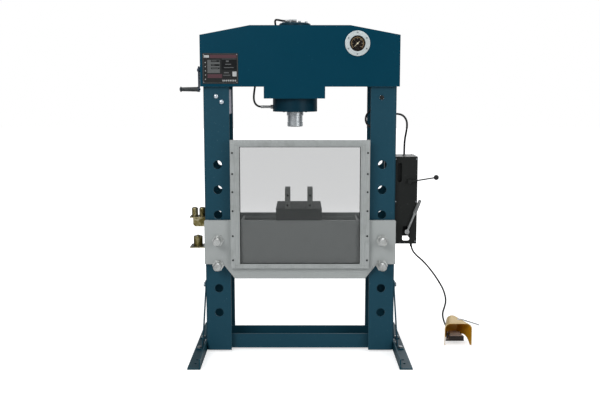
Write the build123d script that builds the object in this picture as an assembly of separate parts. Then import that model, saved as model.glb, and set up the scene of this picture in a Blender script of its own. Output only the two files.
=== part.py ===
from build123d import *
from math import atan2, cos, hypot, pi, radians, sin, tan
import os

# Hydraulic workshop press: welded frame, cylinder, pinned table, sliding guard, pump unit, foot pedal.
# Millimetres. X = 0 is the middle of the frame, Y = 0 the middle of its depth, Z = 0 the floor.
# The front of the press faces -Y.

# Fits and gaps
running_clearance = 0.05
bolt_clearance = 0.2
seat_gap = 0.3
slide_gap = 0.4

# Columns: folded channels, open towards the middle of the frame
column_outer_x = 570.0
column_width = 153.0
column_depth = 281.0
column_wall = 12.0
column_fold = 18.0
column_bottom_z = 10.0
column_top_z = 1880.0
hole_radius = 26.0
hole_first_z = 245.0
hole_pitch = 150.0
hole_count = 7
hole_x = 490.0

# Head: a plate on the front and one on the back of the columns
head_thickness = 25.0
head_half_width = 583.0
head_bottom_z = 1606.0
head_shoulder_z = 1903.0
head_top_z = 1958.0
head_flat_half = 292.0
head_tab_left = -212.0
head_tab_right = 147.0
head_tab_z = 1536.0

# Cylinder and ram
cylinder_x = -30.0
collar_radius = 134.0
collar_bottom_z = 1457.0
barrel_radius = 95.0
piston_room = 15.0
cap_height = 40.0
cap_spigot = 20.0
bore_radius = 75.0
gland_radius = 88.0
gland_height = 40.0
wiper_width = 6.0
wiper_height = 5.0
collar_chamfer = 2.0
cap_edge = 12.0
ram_radius = 50.0
ram_shoulder_z = 1433.0
spigot_radius = 35.0
piston_height = 70.0
piston_seal_width = 8.0
piston_seal_depth = 5.0
piston_seal_places = [15.0, 45.0]
ram_chamfer = 1.5
nose_neck_radius = 45.0
nose_radius = 46.5
nose_shoulder_z = 1395.0
nose_bottom_z = 1366.0
nose_stem_radius = 20.0
nose_stem_height = 40.0
nose_chamfer = 4.0
nose_groove_width = 4.0
nose_groove_depth = 2.0
ram_stroke = 300.0
ram_end_spare = 39.0
mount_plate_z = 1640.0
mount_plate_height = 40.0
mount_half_length = 220.0
mount_rib = 20.0
mount_rib_top_z = 1935.0
pipe_notch_half = 16.0

# Lower beam, feet and braces
beam_half_depth = 93.5
beam_top_z = 98.0
beam_wall = 10.0
beam_end_plate = 12.0
foot_half_length = 479.5
foot_thickness = 8.0
foot_upright = 60.0
foot_width = 75.0
anchor_radius = 9.0
anchor_x = 606.0
anchor_y_near = 326.0
anchor_y_far = 393.0
foot_corner = 6.0
gusset_reach = 26.0
gusset_toe = 2.0
gusset_shoulder = 3.0
gusset_thickness = 8.0
brace_y = 110.0
brace_width = 40.0
brace_thickness = 6.0
brace_top_z = 436.0
brace_bend_z = 388.0
brace_bolt_z = 413.0
brace_toe_x = 602.0
brace_toe_length = 34.0
foot_bolt_radius = 8.0
foot_bolt_z = 38.0
foot_bolt_y = 55.0
foot_bolt_flats = 24.0
bolt_head = 10.0

# Table and its pins
table_thickness = 25.0
table_gap = 5.0
table_top_z = 815.0
table_ear_z = 550.0
table_ear_x = 460.0
table_bottom_x = 390.0
table_bottom_z = 462.0
table_half_width = 571.0
table_web_x = 351.0
table_web_thickness = 12.0
table_web_top_z = 800.0
table_web_bottom_z = 470.0
ledge_height = 10.0
ledge_depth = 12.0
ledge_top_z = 790.0
pin_radius = 25.0
pin_lower_row = 2
pin_upper_row = 3
pin_collar_width = 62.0
pin_collar_height = 12.0
pin_grip_length = 62.0
pin_tail = 12.0
pin_chamfer = 6.0
pin_cross_hole_radius = 5.0
pin_cross_hole_place = 22.0
table_corner = 6.0

# Arbor plate and its two uprights
arbor_x = -6.75
arbor_length = 273.5
arbor_height = 71.0
arbor_front_y = -169.5
arbor_back_y = 178.0
upright_height = 120.0
upright_thickness = 31.0
upright_depth = 142.0
upright_left_x = -74.0
upright_right_x = 60.0
upright_crown = 28.0
arbor_chamfer = 4.0

# Guard: fixed rails on the table and a sliding frame with a clear pane
guard_half_width = 411.0
rail_width = 26.0
rail_depth = 30.0
rail_wall = 2.0
rail_bottom_z = 530.0
rail_top_z = 1277.0
sash_top_z = 1295.0
sash_outer_x = 405.0
sash_bead_x = 366.0
sash_opening_x = 357.0
sash_opening_bottom_z = 556.0
sash_opening_top_z = 1256.0
bead_step = 3.0
pane_thickness = 5.0
pane_rebate = 4.0

# Gauge on the head
gauge_x = 334.0
gauge_drop = 104.0
gauge_flange_radius = 73.0
gauge_flange_thickness = 7.0
gauge_radius = 46.0
gauge_wall = 3.0
gauge_depth = 52.0
dial_thickness = 1.5
dial_back = 9.0
glass_thickness = 2.0
needle_length = 26.0
needle_tail = 19.0
needle_width = 4.0
needle_thickness = 1.0
needle_tip = 0.6
needle_hub_radius = 5.0
needle_gap = 2.0
spindle_radius = 2.0
spindle_length = 12.0
bearing_radius = 10.0
dial_shelf = 3.0
dial_shelf_hole = 30.0
glass_set_back = 1.0
gauge_edge = 3.0
needle_zero_angle = 225.0

# Winch and crank on the left column
crank_z = 1705.0
crank_shaft_radius = 9.0
crank_arm_x = 605.0
crank_arm_thickness = 8.0
crank_throw = 115.0
crank_arm_width = 36.0
crank_arm_taper = 3.0
crank_boss_radius = 22.0
crank_tip_radius = 16.0
crank_hub_radius = 15.0
crank_hub_length = 10.0
crank_shaft_proud = 6.0
grip_radius = 16.0
grip_length = 108.0
grip_pin_radius = 5.0
grip_flange = 4.0
grip_neck = 5.0
grip_waist = 4.0
grip_pin_head = 4.0
grip_pin_head_radius = 9.0
housing_length = 106.0
housing_half_depth = 55.0
housing_bottom_z = 1650.0
housing_top_z = 1765.0
housing_corner = 20.0
winch_plate_bottom_z = 1444.0
winch_plate_top_z = 1589.0
winch_plate_thickness = 8.0
winch_plate_half_depth = 100.0
winch_plate_outer_gap = 30.0
winch_plate_inner_gap = 4.0
winch_bolt_radius = 7.0
winch_bolt_head = 7.0
winch_bolt_head_radius = 13.0
winch_bolt_nut = 8.0
winch_bolt_flats = 20.0
winch_bolt_places = [(-493.0, 1549.0), (-461.0, 1516.0)]
right_bolt_place = (480.0, 1542.0)
shaft_depth = 78.0
shaft_end_gap = 2.0

# Plated brackets on the left column
zinc_sheet = 6.0
zinc_reach = 104.0
zinc_half_depth = 48.0
zinc_shelf_z = 818.0
zinc_gusset_z = 756.0
zinc_gusset_reach = 85.0
zinc_gusset_cut = 13.0
zinc_gusset_y = 30.0
zinc_post_places = [76.0, 30.0]
zinc_post_radius = 19.0
zinc_post_crown = 12.0
zinc_post_top_z = 873.0
drum_shelf_z = 634.0
drum_shelf_half_depth = 60.0
drum_shelf_top_z = 706.0
drum_distance = 59.0
drum_radius = 28.0
drum_stub_radius = 9.0
drum_top_z = 694.0
drum_edge = 3.0

# Pump unit on the right column
pump_outer_x = 706.0
pump_half_depth = 100.0
pump_bottom_z = 662.0
pump_top_z = 1190.0
pump_sheet = 3.0
pump_fold = 6.0
slot_left = 584.0
slot_right = 612.0
slot_bottom_z = 1035.0
slot_top_z = 1154.0
port_left = 619.0
port_right = 662.0
port_bottom_z = 682.0
port_top_z = 771.0
port_corner = 10.0
cover_hole_gap = 1.0
cover_hose_gap = 6.0
tank_outer_x = 690.0
tank_half_depth = 80.0
tank_bottom_z = 812.0
tank_top_z = 1150.0
block_outer_x = 656.0
block_half_depth = 62.0
block_bottom_z = 704.0
block_chamfer = 8.0
tank_corner = 14.0
tank_port_depth = 20.0
pump_plug_place = (641.0, 765.0)
pump_plug_flats = 14.0
pump_plug_height = 6.0
valve_x = 655.0
valve_y = -114.0
valve_seat = 30.0
valve_z = 1041.0
valve_spindle_radius = 7.0
valve_hub_radius = 13.0
valve_rod_radius = 4.0
knob_radius = 15.5
knob_x = 815.0
knob_z = 1067.0
valve_socket_end = 44.0
valve_socket_radii = (8.0, 7.0)
valve_hub_half = 10.0
hub_edge = 3.0
knob_bore_depth = 23.0
lever_x = 645.0
lever_y = -114.0
lever_z = 738.0
lever_top_x = 722.0
lever_top_z = 931.0
lever_radius = 7.0
lever_grip_radius = 11.0
lever_grip_length = 88.0
lever_hub_radius = 15.0
lever_seat = 30.0
lever_boss_radius = 11.0
lever_boss_length = 8.0
lever_hub_half = 9.0
lever_grip_wall_end = 10.0
lever_collar_radius = 10.0
lever_collar_length = 8.0
lever_grip_taper = 2.0
lever_grip_edge = 4.0
junction_half_depth = 45.0
junction_inner_x = 666.0
junction_bottom_z = 690.0
junction_top_z = 790.0
junction_corner = 5.0

# Foot pedal on the floor
pedal_front_y = -16.0
pedal_back_y = 175.0
pedal_front_x = 990.0
pedal_front_width = 170.0
pedal_back_x = 983.5
pedal_back_width = 74.0
pedal_height = 140.0
pedal_sheet = 3.0
pedal_crown = 34.0
pedal_base_height = 8.0
pedal_arch_radius = 90.0
pedal_arch_y = 80.0
pedal_arch_top_z = 42.0
treadle_x = 983.5
treadle_front_y = -10.0
treadle_back_y = 128.0
treadle_front_width = 86.0
treadle_back_width = 50.0
treadle_top_z = 58.0
treadle_bottom_z = 30.0
treadle_hinge_y = 116.0
treadle_hinge_z = 42.0
treadle_pin_radius = 4.0
treadle_lug = 8.0
treadle_lug_radius = 9.0
pedal_base_front_y = 76.0
spring_y = 91.0
spring_radius = 9.0
spring_wire = 1.6
spring_turns = 4
spring_well = 8.0
spring_seat = 2.0
spring_room = 3.5
latch_width = 28.0
latch_thickness = 2.5
latch_start_x = 1000.0
latch_bend_x = 1024.0
latch_end_x = 1140.0
latch_drop = 38.0
treadle_back_drop = 6.0
treadle_back_under = 8.0
treadle_heel = 20.0
treadle_grooves = 5
groove_pitch = 14.0
groove_width = 4.0
groove_depth = 3.0

# Hoses, pipes and cable
hose_radius = 6.0
hose_hole_gap = 4.0
pipe_radius = 5.0
pipe_bend = 30.0
pipe_seat = 12.0
pipe_wall_distance = 22.0
return_pipe_x = 524.0
return_pipe_y = 60.0
return_pipe_z = 1060.0
return_jog_top_z = 1300.0
return_jog_bottom_z = 1200.0
return_run_z = 1790.0
pressure_run_z = 1824.0
pressure_pipe_x = 455.0
low_fitting_z = 1485.0
fitting_radius = 8.0
fitting_seat = 34.0
elbow_rise = 13.0
elbow_seat = 20.0
elbow_radius = 10.0
elbow_tail = 10.0
elbow_nut = 6.0
fitting_flats = 22.0
low_nut = 14.0
low_flats = 24.0
tank_nut = 8.0
tank_fitting_proud = 22.0
pump_hose_x = 635.0
pump_hose_exit_z = 1442.0
cable_radius = 5.5
gland_x = 684.0
gland_y = -10.0
gland_length = 24.0
gland_body_radius = 9.5
gland_chamfer = 2.0
gland_nut = 8.0
gland_flats = 22.0
pedal_gland_z = 26.0

# Worked out from the sizes above
column_inner_x = column_outer_x - column_width
column_face_y = column_depth / 2
head_face_y = column_face_y + head_thickness
gland_top_z = collar_bottom_z + gland_height
piston_bottom_z = gland_top_z + ram_stroke + ram_end_spare
piston_top_z = piston_bottom_z + piston_height
barrel_top_z = piston_top_z + piston_room + cap_spigot
cap_top_z = barrel_top_z + cap_height
elbow_z = cap_top_z + elbow_rise
gauge_z = head_top_z - gauge_drop
table_inner_y = column_face_y + table_gap
table_face_y = table_inner_y + table_thickness
lower_pin_z = hole_first_z + hole_pitch * pin_lower_row
upper_pin_z = hole_first_z + hole_pitch * pin_upper_row
rail_face_y = table_face_y + rail_depth
arbor_top_z = table_top_z + arbor_height
foot_outer_x = column_outer_x + foot_width
upper_line_y = column_face_y - pipe_wall_distance
outer_bolt_y = (beam_half_depth + column_face_y - column_fold) / 2
housing_outer_x = -column_outer_x + column_wall
foot_bolt_hole = foot_bolt_radius + bolt_clearance
crank_shaft_hole = crank_shaft_radius + running_clearance
pipe_hole = pipe_radius + seat_gap

hole_rows = [hole_first_z + hole_pitch * row for row in range(hole_count)]
both_sides = (-1, 1)


def block(x_range, y_range, z_range):
    """A straight-sided block between two planes on each axis."""
    size = [high - low for low, high in (x_range, y_range, z_range)]
    middle = [(high + low) / 2 for low, high in (x_range, y_range, z_range)]
    return Pos(*middle) * Box(*size)


def rod_x(x_range, y, z, radius):
    """A round bar along X."""
    low, high = x_range
    return Pos((low + high) / 2, y, z) * Rot(0, 90, 0) * Cylinder(radius, high - low)


def rod_y(x, y_range, z, radius):
    """A round bar along Y."""
    low, high = y_range
    return Pos(x, (low + high) / 2, z) * Rot(90, 0, 0) * Cylinder(radius, high - low)


def rod_z(x, y, z_range, radius):
    """A round bar along Z."""
    low, high = z_range
    return Pos(x, y, (low + high) / 2) * Cylinder(radius, high - low)


def plate_across(outline, y_range):
    """A plate whose outline lies in X and Z, between two planes on Y."""
    low, high = y_range
    face = make_face(Polyline(*outline, close=True))
    return Pos(0, high, 0) * extrude(Plane.XZ * face, high - low)


def mirror_outline(half):
    """The outline of a plate that is the same left and right, from its right half."""
    return half + [(-x, z) for x, z in reversed(half)]


def bent_strip(points, thickness):
    """The outline of a folded strip with its left side on the points, corners mitred."""
    offset_points = []
    for index, (x, z) in enumerate(points):
        before = points[max(index - 1, 0)]
        after = points[min(index + 1, len(points) - 1)]
        first = atan2(z - before[1], x - before[0]) if index else None
        last = atan2(after[1] - z, after[0] - x) if index < len(points) - 1 else None
        first = last if first is None else first
        last = first if last is None else last
        middle = (first + last) / 2
        reach = thickness / cos((last - first) / 2)
        offset_points.append((x + reach * sin(middle), z - reach * cos(middle)))
    return points + offset_points[::-1]


def hexagon_y(x, y_range, z, across_flats):
    """A hexagonal prism along Y."""
    low, high = y_range
    face = RegularPolygon(across_flats / 2, 6, major_radius=False)
    return Pos(x, high, z) * extrude(Plane.XZ * face, high - low)


def hexagon_z(x, y, z_range, across_flats):
    """A hexagonal prism along Z."""
    low, high = z_range
    return Pos(x, y, low) * extrude(RegularPolygon(across_flats / 2, 6, major_radius=False), high - low)


def hexagon_x(x_range, y, z, across_flats):
    """A hexagonal prism along X."""
    low, high = x_range
    face = RegularPolygon(across_flats / 2, 6, major_radius=False)
    return Pos(low, y, z) * extrude(Plane.YZ * face, high - low)


def column(side):
    """A folded channel with its web outside and a row of pin holes through both flanges."""
    outside = block(
        (column_inner_x, column_outer_x),
        (-column_face_y, column_face_y),
        (column_bottom_z, column_top_z),
    )
    outside = fillet(outside.edges().filter_by(Axis.Z).sort_by(Axis.X)[-2:], column_fold)
    hollow_y = column_face_y - column_wall
    hollow = block(
        (column_inner_x - column_wall, column_outer_x - column_wall),
        (-hollow_y, hollow_y),
        (column_bottom_z - 1, column_top_z + 1),
    )
    hollow = fillet(hollow.edges().filter_by(Axis.Z).sort_by(Axis.X)[-2:], column_fold - column_wall)
    channel = outside - hollow
    for z in hole_rows:
        channel -= rod_y(hole_x, (-column_depth, column_depth), z, hole_radius)
    for y in (-outer_bolt_y, -foot_bolt_y, foot_bolt_y, outer_bolt_y):
        channel -= web_hole(y, foot_bolt_z)
    for y in (-brace_y, brace_y):
        channel -= web_hole(y, brace_bolt_z)
    if side < 0:
        channel = mirror(channel, Plane.YZ)
        channel -= rod_x((-column_outer_x - 1, -column_inner_x), 0, crank_z, crank_shaft_hole)
        for x, z in winch_bolt_places:
            channel -= rod_y(x, (-column_depth, 0), z, winch_bolt_radius + bolt_clearance)
        return channel
    bolt_x, bolt_z = right_bolt_place
    channel -= rod_y(bolt_x, (-column_depth, 0), bolt_z, winch_bolt_radius + bolt_clearance)
    channel -= rod_x((column_inner_x, column_outer_x + 1), 0, pump_hose_exit_z, hose_radius + hose_hole_gap)
    channel -= rod_x((return_pipe_x, column_outer_x + 1), return_pipe_y, return_pipe_z, pipe_hole)
    return channel


def web_hole(y, z):
    """The cutter for a bolt hole through the web of a right-hand column."""
    return rod_x((column_outer_x - column_wall - 1, column_outer_x + 1), y, z, foot_bolt_hole)


def head_plate(side):
    """A head plate with sloping shoulders and a tab that drops over the cylinder."""
    outline = [
        (-head_half_width, head_bottom_z),
        (-head_half_width, head_shoulder_z),
        (-head_flat_half, head_top_z),
        (head_flat_half, head_top_z),
        (head_half_width, head_shoulder_z),
        (head_half_width, head_bottom_z),
        (head_tab_right, head_bottom_z),
        (head_tab_right, head_tab_z),
        (head_tab_left, head_tab_z),
        (head_tab_left, head_bottom_z),
    ]
    if side < 0:
        plate = plate_across(outline, (-head_face_y, -column_face_y))
        case_radius = gauge_radius + gauge_wall + seat_gap
        return plate - rod_y(gauge_x, (-head_face_y - 1, -column_face_y + 1), gauge_z, case_radius)
    return plate_across(outline, (column_face_y, head_face_y))


def cylinder_mount():
    """The cradle between the head plates: a bored plate with a rib on each end."""
    left = cylinder_x - mount_half_length
    right = cylinder_x + mount_half_length
    depth = (-column_face_y, column_face_y)
    plate_top_z = mount_plate_z + mount_plate_height
    cradle = block((left, right), depth, (mount_plate_z, plate_top_z))
    for x in (left, right - mount_rib):
        cradle += block((x, x + mount_rib), depth, (plate_top_z, mount_rib_top_z))
    cradle -= rod_z(cylinder_x, 0, (mount_plate_z - 1, plate_top_z + 1), barrel_radius + running_clearance)
    notch_y = (upper_line_y - pipe_notch_half, upper_line_y + pipe_notch_half)
    notch_z = (return_run_z - pipe_notch_half, pressure_run_z + pipe_notch_half)
    cradle -= block((left - 1, right + 1), notch_y, notch_z)
    return cradle


def cylinder_body():
    """The barrel with its heavy collar, bored for the piston and for the gland."""
    body = rod_z(cylinder_x, 0, (collar_bottom_z, mount_plate_z), collar_radius)
    body = chamfer(body.edges().group_by(Axis.Z)[0], collar_chamfer)
    body += rod_z(cylinder_x, 0, (mount_plate_z, barrel_top_z), barrel_radius)
    body -= rod_z(cylinder_x, 0, (gland_top_z - 1, barrel_top_z + 1), bore_radius + running_clearance)
    body -= rod_z(cylinder_x, 0, (collar_bottom_z - 1, gland_top_z), gland_radius + running_clearance)
    port_x = cylinder_x - collar_radius
    body -= rod_x((port_x - 1, port_x + fitting_seat), 0, low_fitting_z, fitting_radius + running_clearance)
    return body


def cylinder_gland():
    """The ring that closes the bottom of the cylinder and guides the ram."""
    gland = rod_z(cylinder_x, 0, (collar_bottom_z, gland_top_z), gland_radius)
    gland -= rod_z(cylinder_x, 0, (0, barrel_top_z), ram_radius + running_clearance)
    groove_z = (collar_bottom_z - 1, collar_bottom_z + wiper_height)
    return gland - rod_z(cylinder_x, 0, groove_z, ram_radius + wiper_width)


def cylinder_cap():
    """The domed end cap with its spigot in the bore and a boss hole for the upper fitting."""
    cap = rod_z(cylinder_x, 0, (barrel_top_z, cap_top_z), barrel_radius)
    cap = fillet(cap.edges().group_by(Axis.Z)[-1], cap_edge)
    cap += rod_z(cylinder_x, 0, (barrel_top_z - cap_spigot, barrel_top_z), bore_radius)
    port_z = (barrel_top_z - cap_spigot - 1, cap_top_z + 1)
    return cap - rod_z(cylinder_x, 0, port_z, fitting_radius + running_clearance)


def ram_rod():
    """The polished ram, with a spigot for the piston and a socket for the nose."""
    rod = rod_z(cylinder_x, 0, (ram_shoulder_z, piston_bottom_z), ram_radius)
    rod = chamfer(rod.edges().group_by(Axis.Z)[0], ram_chamfer)
    rod += rod_z(cylinder_x, 0, (piston_bottom_z, piston_top_z), spigot_radius)
    socket = (ram_shoulder_z - 1, ram_shoulder_z + nose_stem_height + 1)
    return rod - rod_z(cylinder_x, 0, socket, nose_stem_radius + running_clearance)


def ram_piston():
    """The piston, with two grooves for its seals."""
    piston = rod_z(cylinder_x, 0, (piston_bottom_z, piston_top_z), bore_radius)
    piston -= rod_z(cylinder_x, 0, (0, cap_top_z), spigot_radius + running_clearance)
    for height in piston_seal_places:
        groove_z = (piston_bottom_z + height, piston_bottom_z + height + piston_seal_width)
        groove = rod_z(cylinder_x, 0, groove_z, bore_radius + 1)
        piston -= groove - rod_z(cylinder_x, 0, groove_z, bore_radius - piston_seal_depth)
    return piston


def ram_nose():
    """The exchangeable nose, with a turned neck and a stem in the ram's socket."""
    nose = rod_z(cylinder_x, 0, (nose_bottom_z, nose_shoulder_z), nose_radius)
    nose = chamfer(nose.edges().group_by(Axis.Z)[0], nose_chamfer)
    nose += rod_z(cylinder_x, 0, (nose_shoulder_z, ram_shoulder_z), nose_neck_radius)
    nose += rod_z(cylinder_x, 0, (ram_shoulder_z, ram_shoulder_z + nose_stem_height), nose_stem_radius)
    groove_z = (nose_shoulder_z, nose_shoulder_z + nose_groove_width)
    groove = rod_z(cylinder_x, 0, groove_z, nose_neck_radius + 1)
    return nose - (groove - rod_z(cylinder_x, 0, groove_z, nose_neck_radius - nose_groove_depth))


def lower_beam():
    """The channel between the column feet, open at the top, with a bolting plate on each end."""
    end_x = column_outer_x - column_wall
    beam = block((-end_x, end_x), (-beam_half_depth, beam_half_depth), (column_bottom_z, beam_top_z))
    inside_y = beam_half_depth - beam_wall
    hollow_x = end_x - beam_end_plate
    beam -= block((-hollow_x, hollow_x), (-inside_y, inside_y), (column_bottom_z + beam_wall, beam_top_z + 1))
    for side in both_sides:
        bolt_x = sorted((side * (end_x + 1), side * (hollow_x - 1)))
        for y in (-foot_bolt_y, foot_bolt_y):
            beam -= rod_x(bolt_x, y, foot_bolt_z, foot_bolt_hole)
    return beam


def foot(side):
    """An angle iron along the floor, with gussets at the column and four anchor holes."""
    length = (-foot_half_length, foot_half_length)
    upright_x = (column_outer_x, column_outer_x + foot_thickness)
    angle = block(upright_x, length, (0, foot_upright))
    angle += block((column_outer_x, foot_outer_x), length, (0, foot_thickness))
    inner_corner = angle.edges().filter_by(Axis.Y).sort_by_distance((upright_x[1], 0, foot_thickness))[0]
    angle = fillet(inner_corner, foot_corner)
    gusset = [
        (upright_x[1] - 1, foot_thickness - 1),
        (upright_x[1] + gusset_reach, foot_thickness - 1),
        (upright_x[1] + gusset_reach, foot_thickness + gusset_toe),
        (upright_x[1] + gusset_shoulder, foot_upright),
        (upright_x[1] - 1, foot_upright),
    ]
    for y in (-column_face_y, column_face_y - gusset_thickness):
        angle += plate_across(gusset, (y, y + gusset_thickness))
    for y in (-outer_bolt_y, -foot_bolt_y, foot_bolt_y, outer_bolt_y):
        angle -= rod_x((column_outer_x - 1, upright_x[1] + 1), y, foot_bolt_z, foot_bolt_hole)
    for y in (-anchor_y_far, -anchor_y_near, anchor_y_near, anchor_y_far):
        angle -= rod_z(anchor_x, y, (-1, foot_thickness + 1), anchor_radius)
    toe_bolt_x = brace_toe_x + brace_toe_length / 2
    for y in (-brace_y, brace_y):
        angle -= rod_z(toe_bolt_x, y, (-1, foot_thickness + 1), foot_bolt_hole)
    return angle if side > 0 else mirror(angle, Plane.YZ)


def foot_braces():
    """Four folded strips from the column webs down to the feet."""
    line = [
        (column_outer_x, brace_top_z),
        (column_outer_x, brace_bend_z),
        (brace_toe_x - brace_thickness, foot_thickness),
        (brace_toe_x + brace_toe_length, foot_thickness),
    ]
    strip_face = bent_strip(line[::-1], brace_thickness)
    braces = []
    for y in (-brace_y, brace_y):
        strip = plate_across(strip_face, (y - brace_width / 2, y + brace_width / 2))
        upper_hole = (column_outer_x - 1, column_outer_x + brace_thickness + 1)
        strip -= rod_x(upper_hole, y, brace_bolt_z, foot_bolt_hole)
        toe_bolt_x = brace_toe_x + brace_toe_length / 2
        toe_hole = (foot_thickness - 1, foot_thickness + brace_thickness + 1)
        strip -= rod_z(toe_bolt_x, y, toe_hole, foot_bolt_hole)
        braces += [strip, mirror(strip, Plane.YZ)]
    return Compound(children=braces)


def foot_bolts():
    """The bolts through the feet, column webs, beam ends and braces."""
    bolts = []
    inside_x = column_outer_x - column_wall
    head_x = column_outer_x + foot_thickness
    toe_seat_z = foot_thickness + brace_thickness
    for side in both_sides:
        for y in (-foot_bolt_y, foot_bolt_y):
            bolts.append(web_bolt(side, y, foot_bolt_z, inside_x - beam_end_plate, head_x))
        for y in (-outer_bolt_y, outer_bolt_y):
            bolts.append(web_bolt(side, y, foot_bolt_z, inside_x, head_x))
        for y in (-brace_y, brace_y):
            bolts.append(web_bolt(side, y, brace_bolt_z, inside_x, column_outer_x + brace_thickness))
            toe_x = side * (brace_toe_x + brace_toe_length / 2)
            shank = rod_z(toe_x, y, (0, toe_seat_z + 1), foot_bolt_radius)
            bolts.append(shank + hexagon_z(toe_x, y, (toe_seat_z, toe_seat_z + bolt_head), foot_bolt_flats))
    return Compound(children=bolts)


def web_bolt(side, y, z, nut_x, head_x):
    """A hexagon bolt along X with its nut on the inner face."""
    bolt = rod_x((nut_x - bolt_head, head_x + 1), y, z, foot_bolt_radius)
    bolt += hexagon_x((head_x, head_x + bolt_head), y, z, foot_bolt_flats)
    bolt += hexagon_x((nut_x - bolt_head, nut_x), y, z, foot_bolt_flats)
    return bolt if side > 0 else mirror(bolt, Plane.YZ)


def column_bolts():
    """The bolts in the front flanges of the columns, two for the winch plate and one on the right."""
    bolts = []
    for x, z in winch_bolt_places + [right_bolt_place]:
        nut_y = -column_face_y + column_wall
        if x < 0:
            nut_y += winch_plate_thickness
        bolt = rod_y(x, (-column_face_y - 1, nut_y + winch_bolt_nut), z, winch_bolt_radius)
        bolt += rod_y(x, (-column_face_y - winch_bolt_head, -column_face_y), z, winch_bolt_head_radius)
        bolt += hexagon_y(x, (nut_y, nut_y + winch_bolt_nut), z, winch_bolt_flats)
        bolts.append(bolt)
    return Compound(children=bolts)


def table_plate(side):
    """A table plate: ears over the columns, sloping lower corners, pin seats and an inner ledge."""
    half = [
        (table_half_width, table_top_z),
        (table_half_width, table_ear_z),
        (table_ear_x, table_ear_z),
        (table_bottom_x, table_bottom_z),
    ]
    plate = plate_across(mirror_outline(half), (table_inner_y, table_face_y))
    plate = fillet(plate.edges().filter_by(Axis.Y).group_by(Axis.Z)[-1], table_corner)
    web_inside = table_web_x - table_web_thickness / 2
    ledge_z = (ledge_top_z - ledge_height, ledge_top_z)
    plate += block((-web_inside, web_inside), (table_inner_y - ledge_depth, table_inner_y), ledge_z)
    for x in (-hole_x, hole_x):
        for z in (lower_pin_z, upper_pin_z):
            plate -= rod_y(x, (table_inner_y - 1, table_face_y + 1), z, pin_radius + running_clearance)
    return plate if side > 0 else mirror(plate, Plane.XZ)


def table_webs():
    """The two cross plates that tie the front and back table plates."""
    webs = []
    for side in both_sides:
        x = side * table_web_x
        webs.append(
            block(
                (x - table_web_thickness / 2, x + table_web_thickness / 2),
                (-table_inner_y, table_inner_y),
                (table_web_bottom_z, table_web_top_z),
            )
        )
    return Compound(children=webs)


def table_pin(x, z):
    """A pin with a hexagonal collar that stops it on the front table plate."""
    tail_y = table_face_y + pin_tail
    collar_y = -table_face_y - pin_collar_height
    grip_y = collar_y - pin_grip_length
    pin = rod_y(x, (grip_y, tail_y), z, pin_radius)
    pin = chamfer(pin.edges().filter_by(GeomType.CIRCLE), pin_chamfer)
    collar = hexagon_y(x, (collar_y, -table_face_y), z, pin_collar_width)
    hole_y = grip_y + pin_cross_hole_place
    cross_hole = rod_x((x - 2 * pin_radius, x + 2 * pin_radius), hole_y, z, pin_cross_hole_radius)
    return pin + collar - cross_hole


def arbor_plate():
    """The heavy block that bridges the two table plates."""
    half = arbor_length / 2
    plate = block((arbor_x - half, arbor_x + half), (arbor_front_y, arbor_back_y), (table_top_z, arbor_top_z))
    return chamfer(plate.edges().filter_by(Axis.Z), arbor_chamfer)


def arbor_uprights():
    """The two upright bars on the arbor plate, with rounded upper corners."""
    bars = []
    for x in (upright_left_x, upright_right_x):
        bar = block(
            (x - upright_thickness / 2, x + upright_thickness / 2),
            (arbor_front_y, arbor_front_y + upright_depth),
            (arbor_top_z, arbor_top_z + upright_height),
        )
        top = bar.edges().filter_by(Axis.X).group_by(Axis.Z)[-1]
        bars.append(fillet(top, upright_crown))
    return Compound(children=bars)


def guard_rails():
    """Two channel rails on the front table plate, open towards each other."""
    rails = []
    front = -rail_face_y
    back = -table_face_y
    for side in both_sides:
        inner_x = guard_half_width - rail_width
        rail = block((inner_x, guard_half_width), (front, back), (rail_bottom_z, rail_top_z))
        channel_x = (inner_x - 1, guard_half_width - rail_wall)
        rail -= block(channel_x, (front + rail_wall, back - rail_wall), (rail_bottom_z - 1, rail_top_z + 1))
        rails.append(rail if side > 0 else mirror(rail, Plane.YZ))
    return Compound(children=rails)


def guard_sash():
    """The sliding frame: stiles inside the rails, a cap bar over them and a stepped bead."""
    front = -rail_face_y + rail_wall + slide_gap
    back = -table_face_y - rail_wall - slide_gap
    sash = block((-sash_outer_x, sash_outer_x), (front, back), (rail_bottom_z, rail_top_z))
    cap_depth = (-rail_face_y, -table_face_y)
    sash += block((-guard_half_width, guard_half_width), cap_depth, (rail_top_z, sash_top_z))
    bead_z = sash_opening_x - sash_bead_x
    rebate = block(
        (-sash_bead_x, sash_bead_x),
        (-rail_face_y - 1, front + bead_step),
        (sash_opening_bottom_z + bead_z, sash_opening_top_z - bead_z),
    )
    window = block(
        (-sash_opening_x, sash_opening_x),
        (-rail_face_y - 1, -table_face_y + 1),
        (sash_opening_bottom_z, sash_opening_top_z),
    )
    return sash - rebate - window - pane_pocket(0)


def pane_pocket(margin):
    """The space of the clear pane in the sash, drawn in by a margin."""
    middle_y = -table_face_y - rail_depth / 2
    half_x = sash_opening_x + pane_rebate - margin
    return block(
        (-half_x, half_x),
        (middle_y - pane_thickness / 2, middle_y + pane_thickness / 2),
        (sash_opening_bottom_z - pane_rebate + margin, sash_opening_top_z + pane_rebate - margin),
    )


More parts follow.
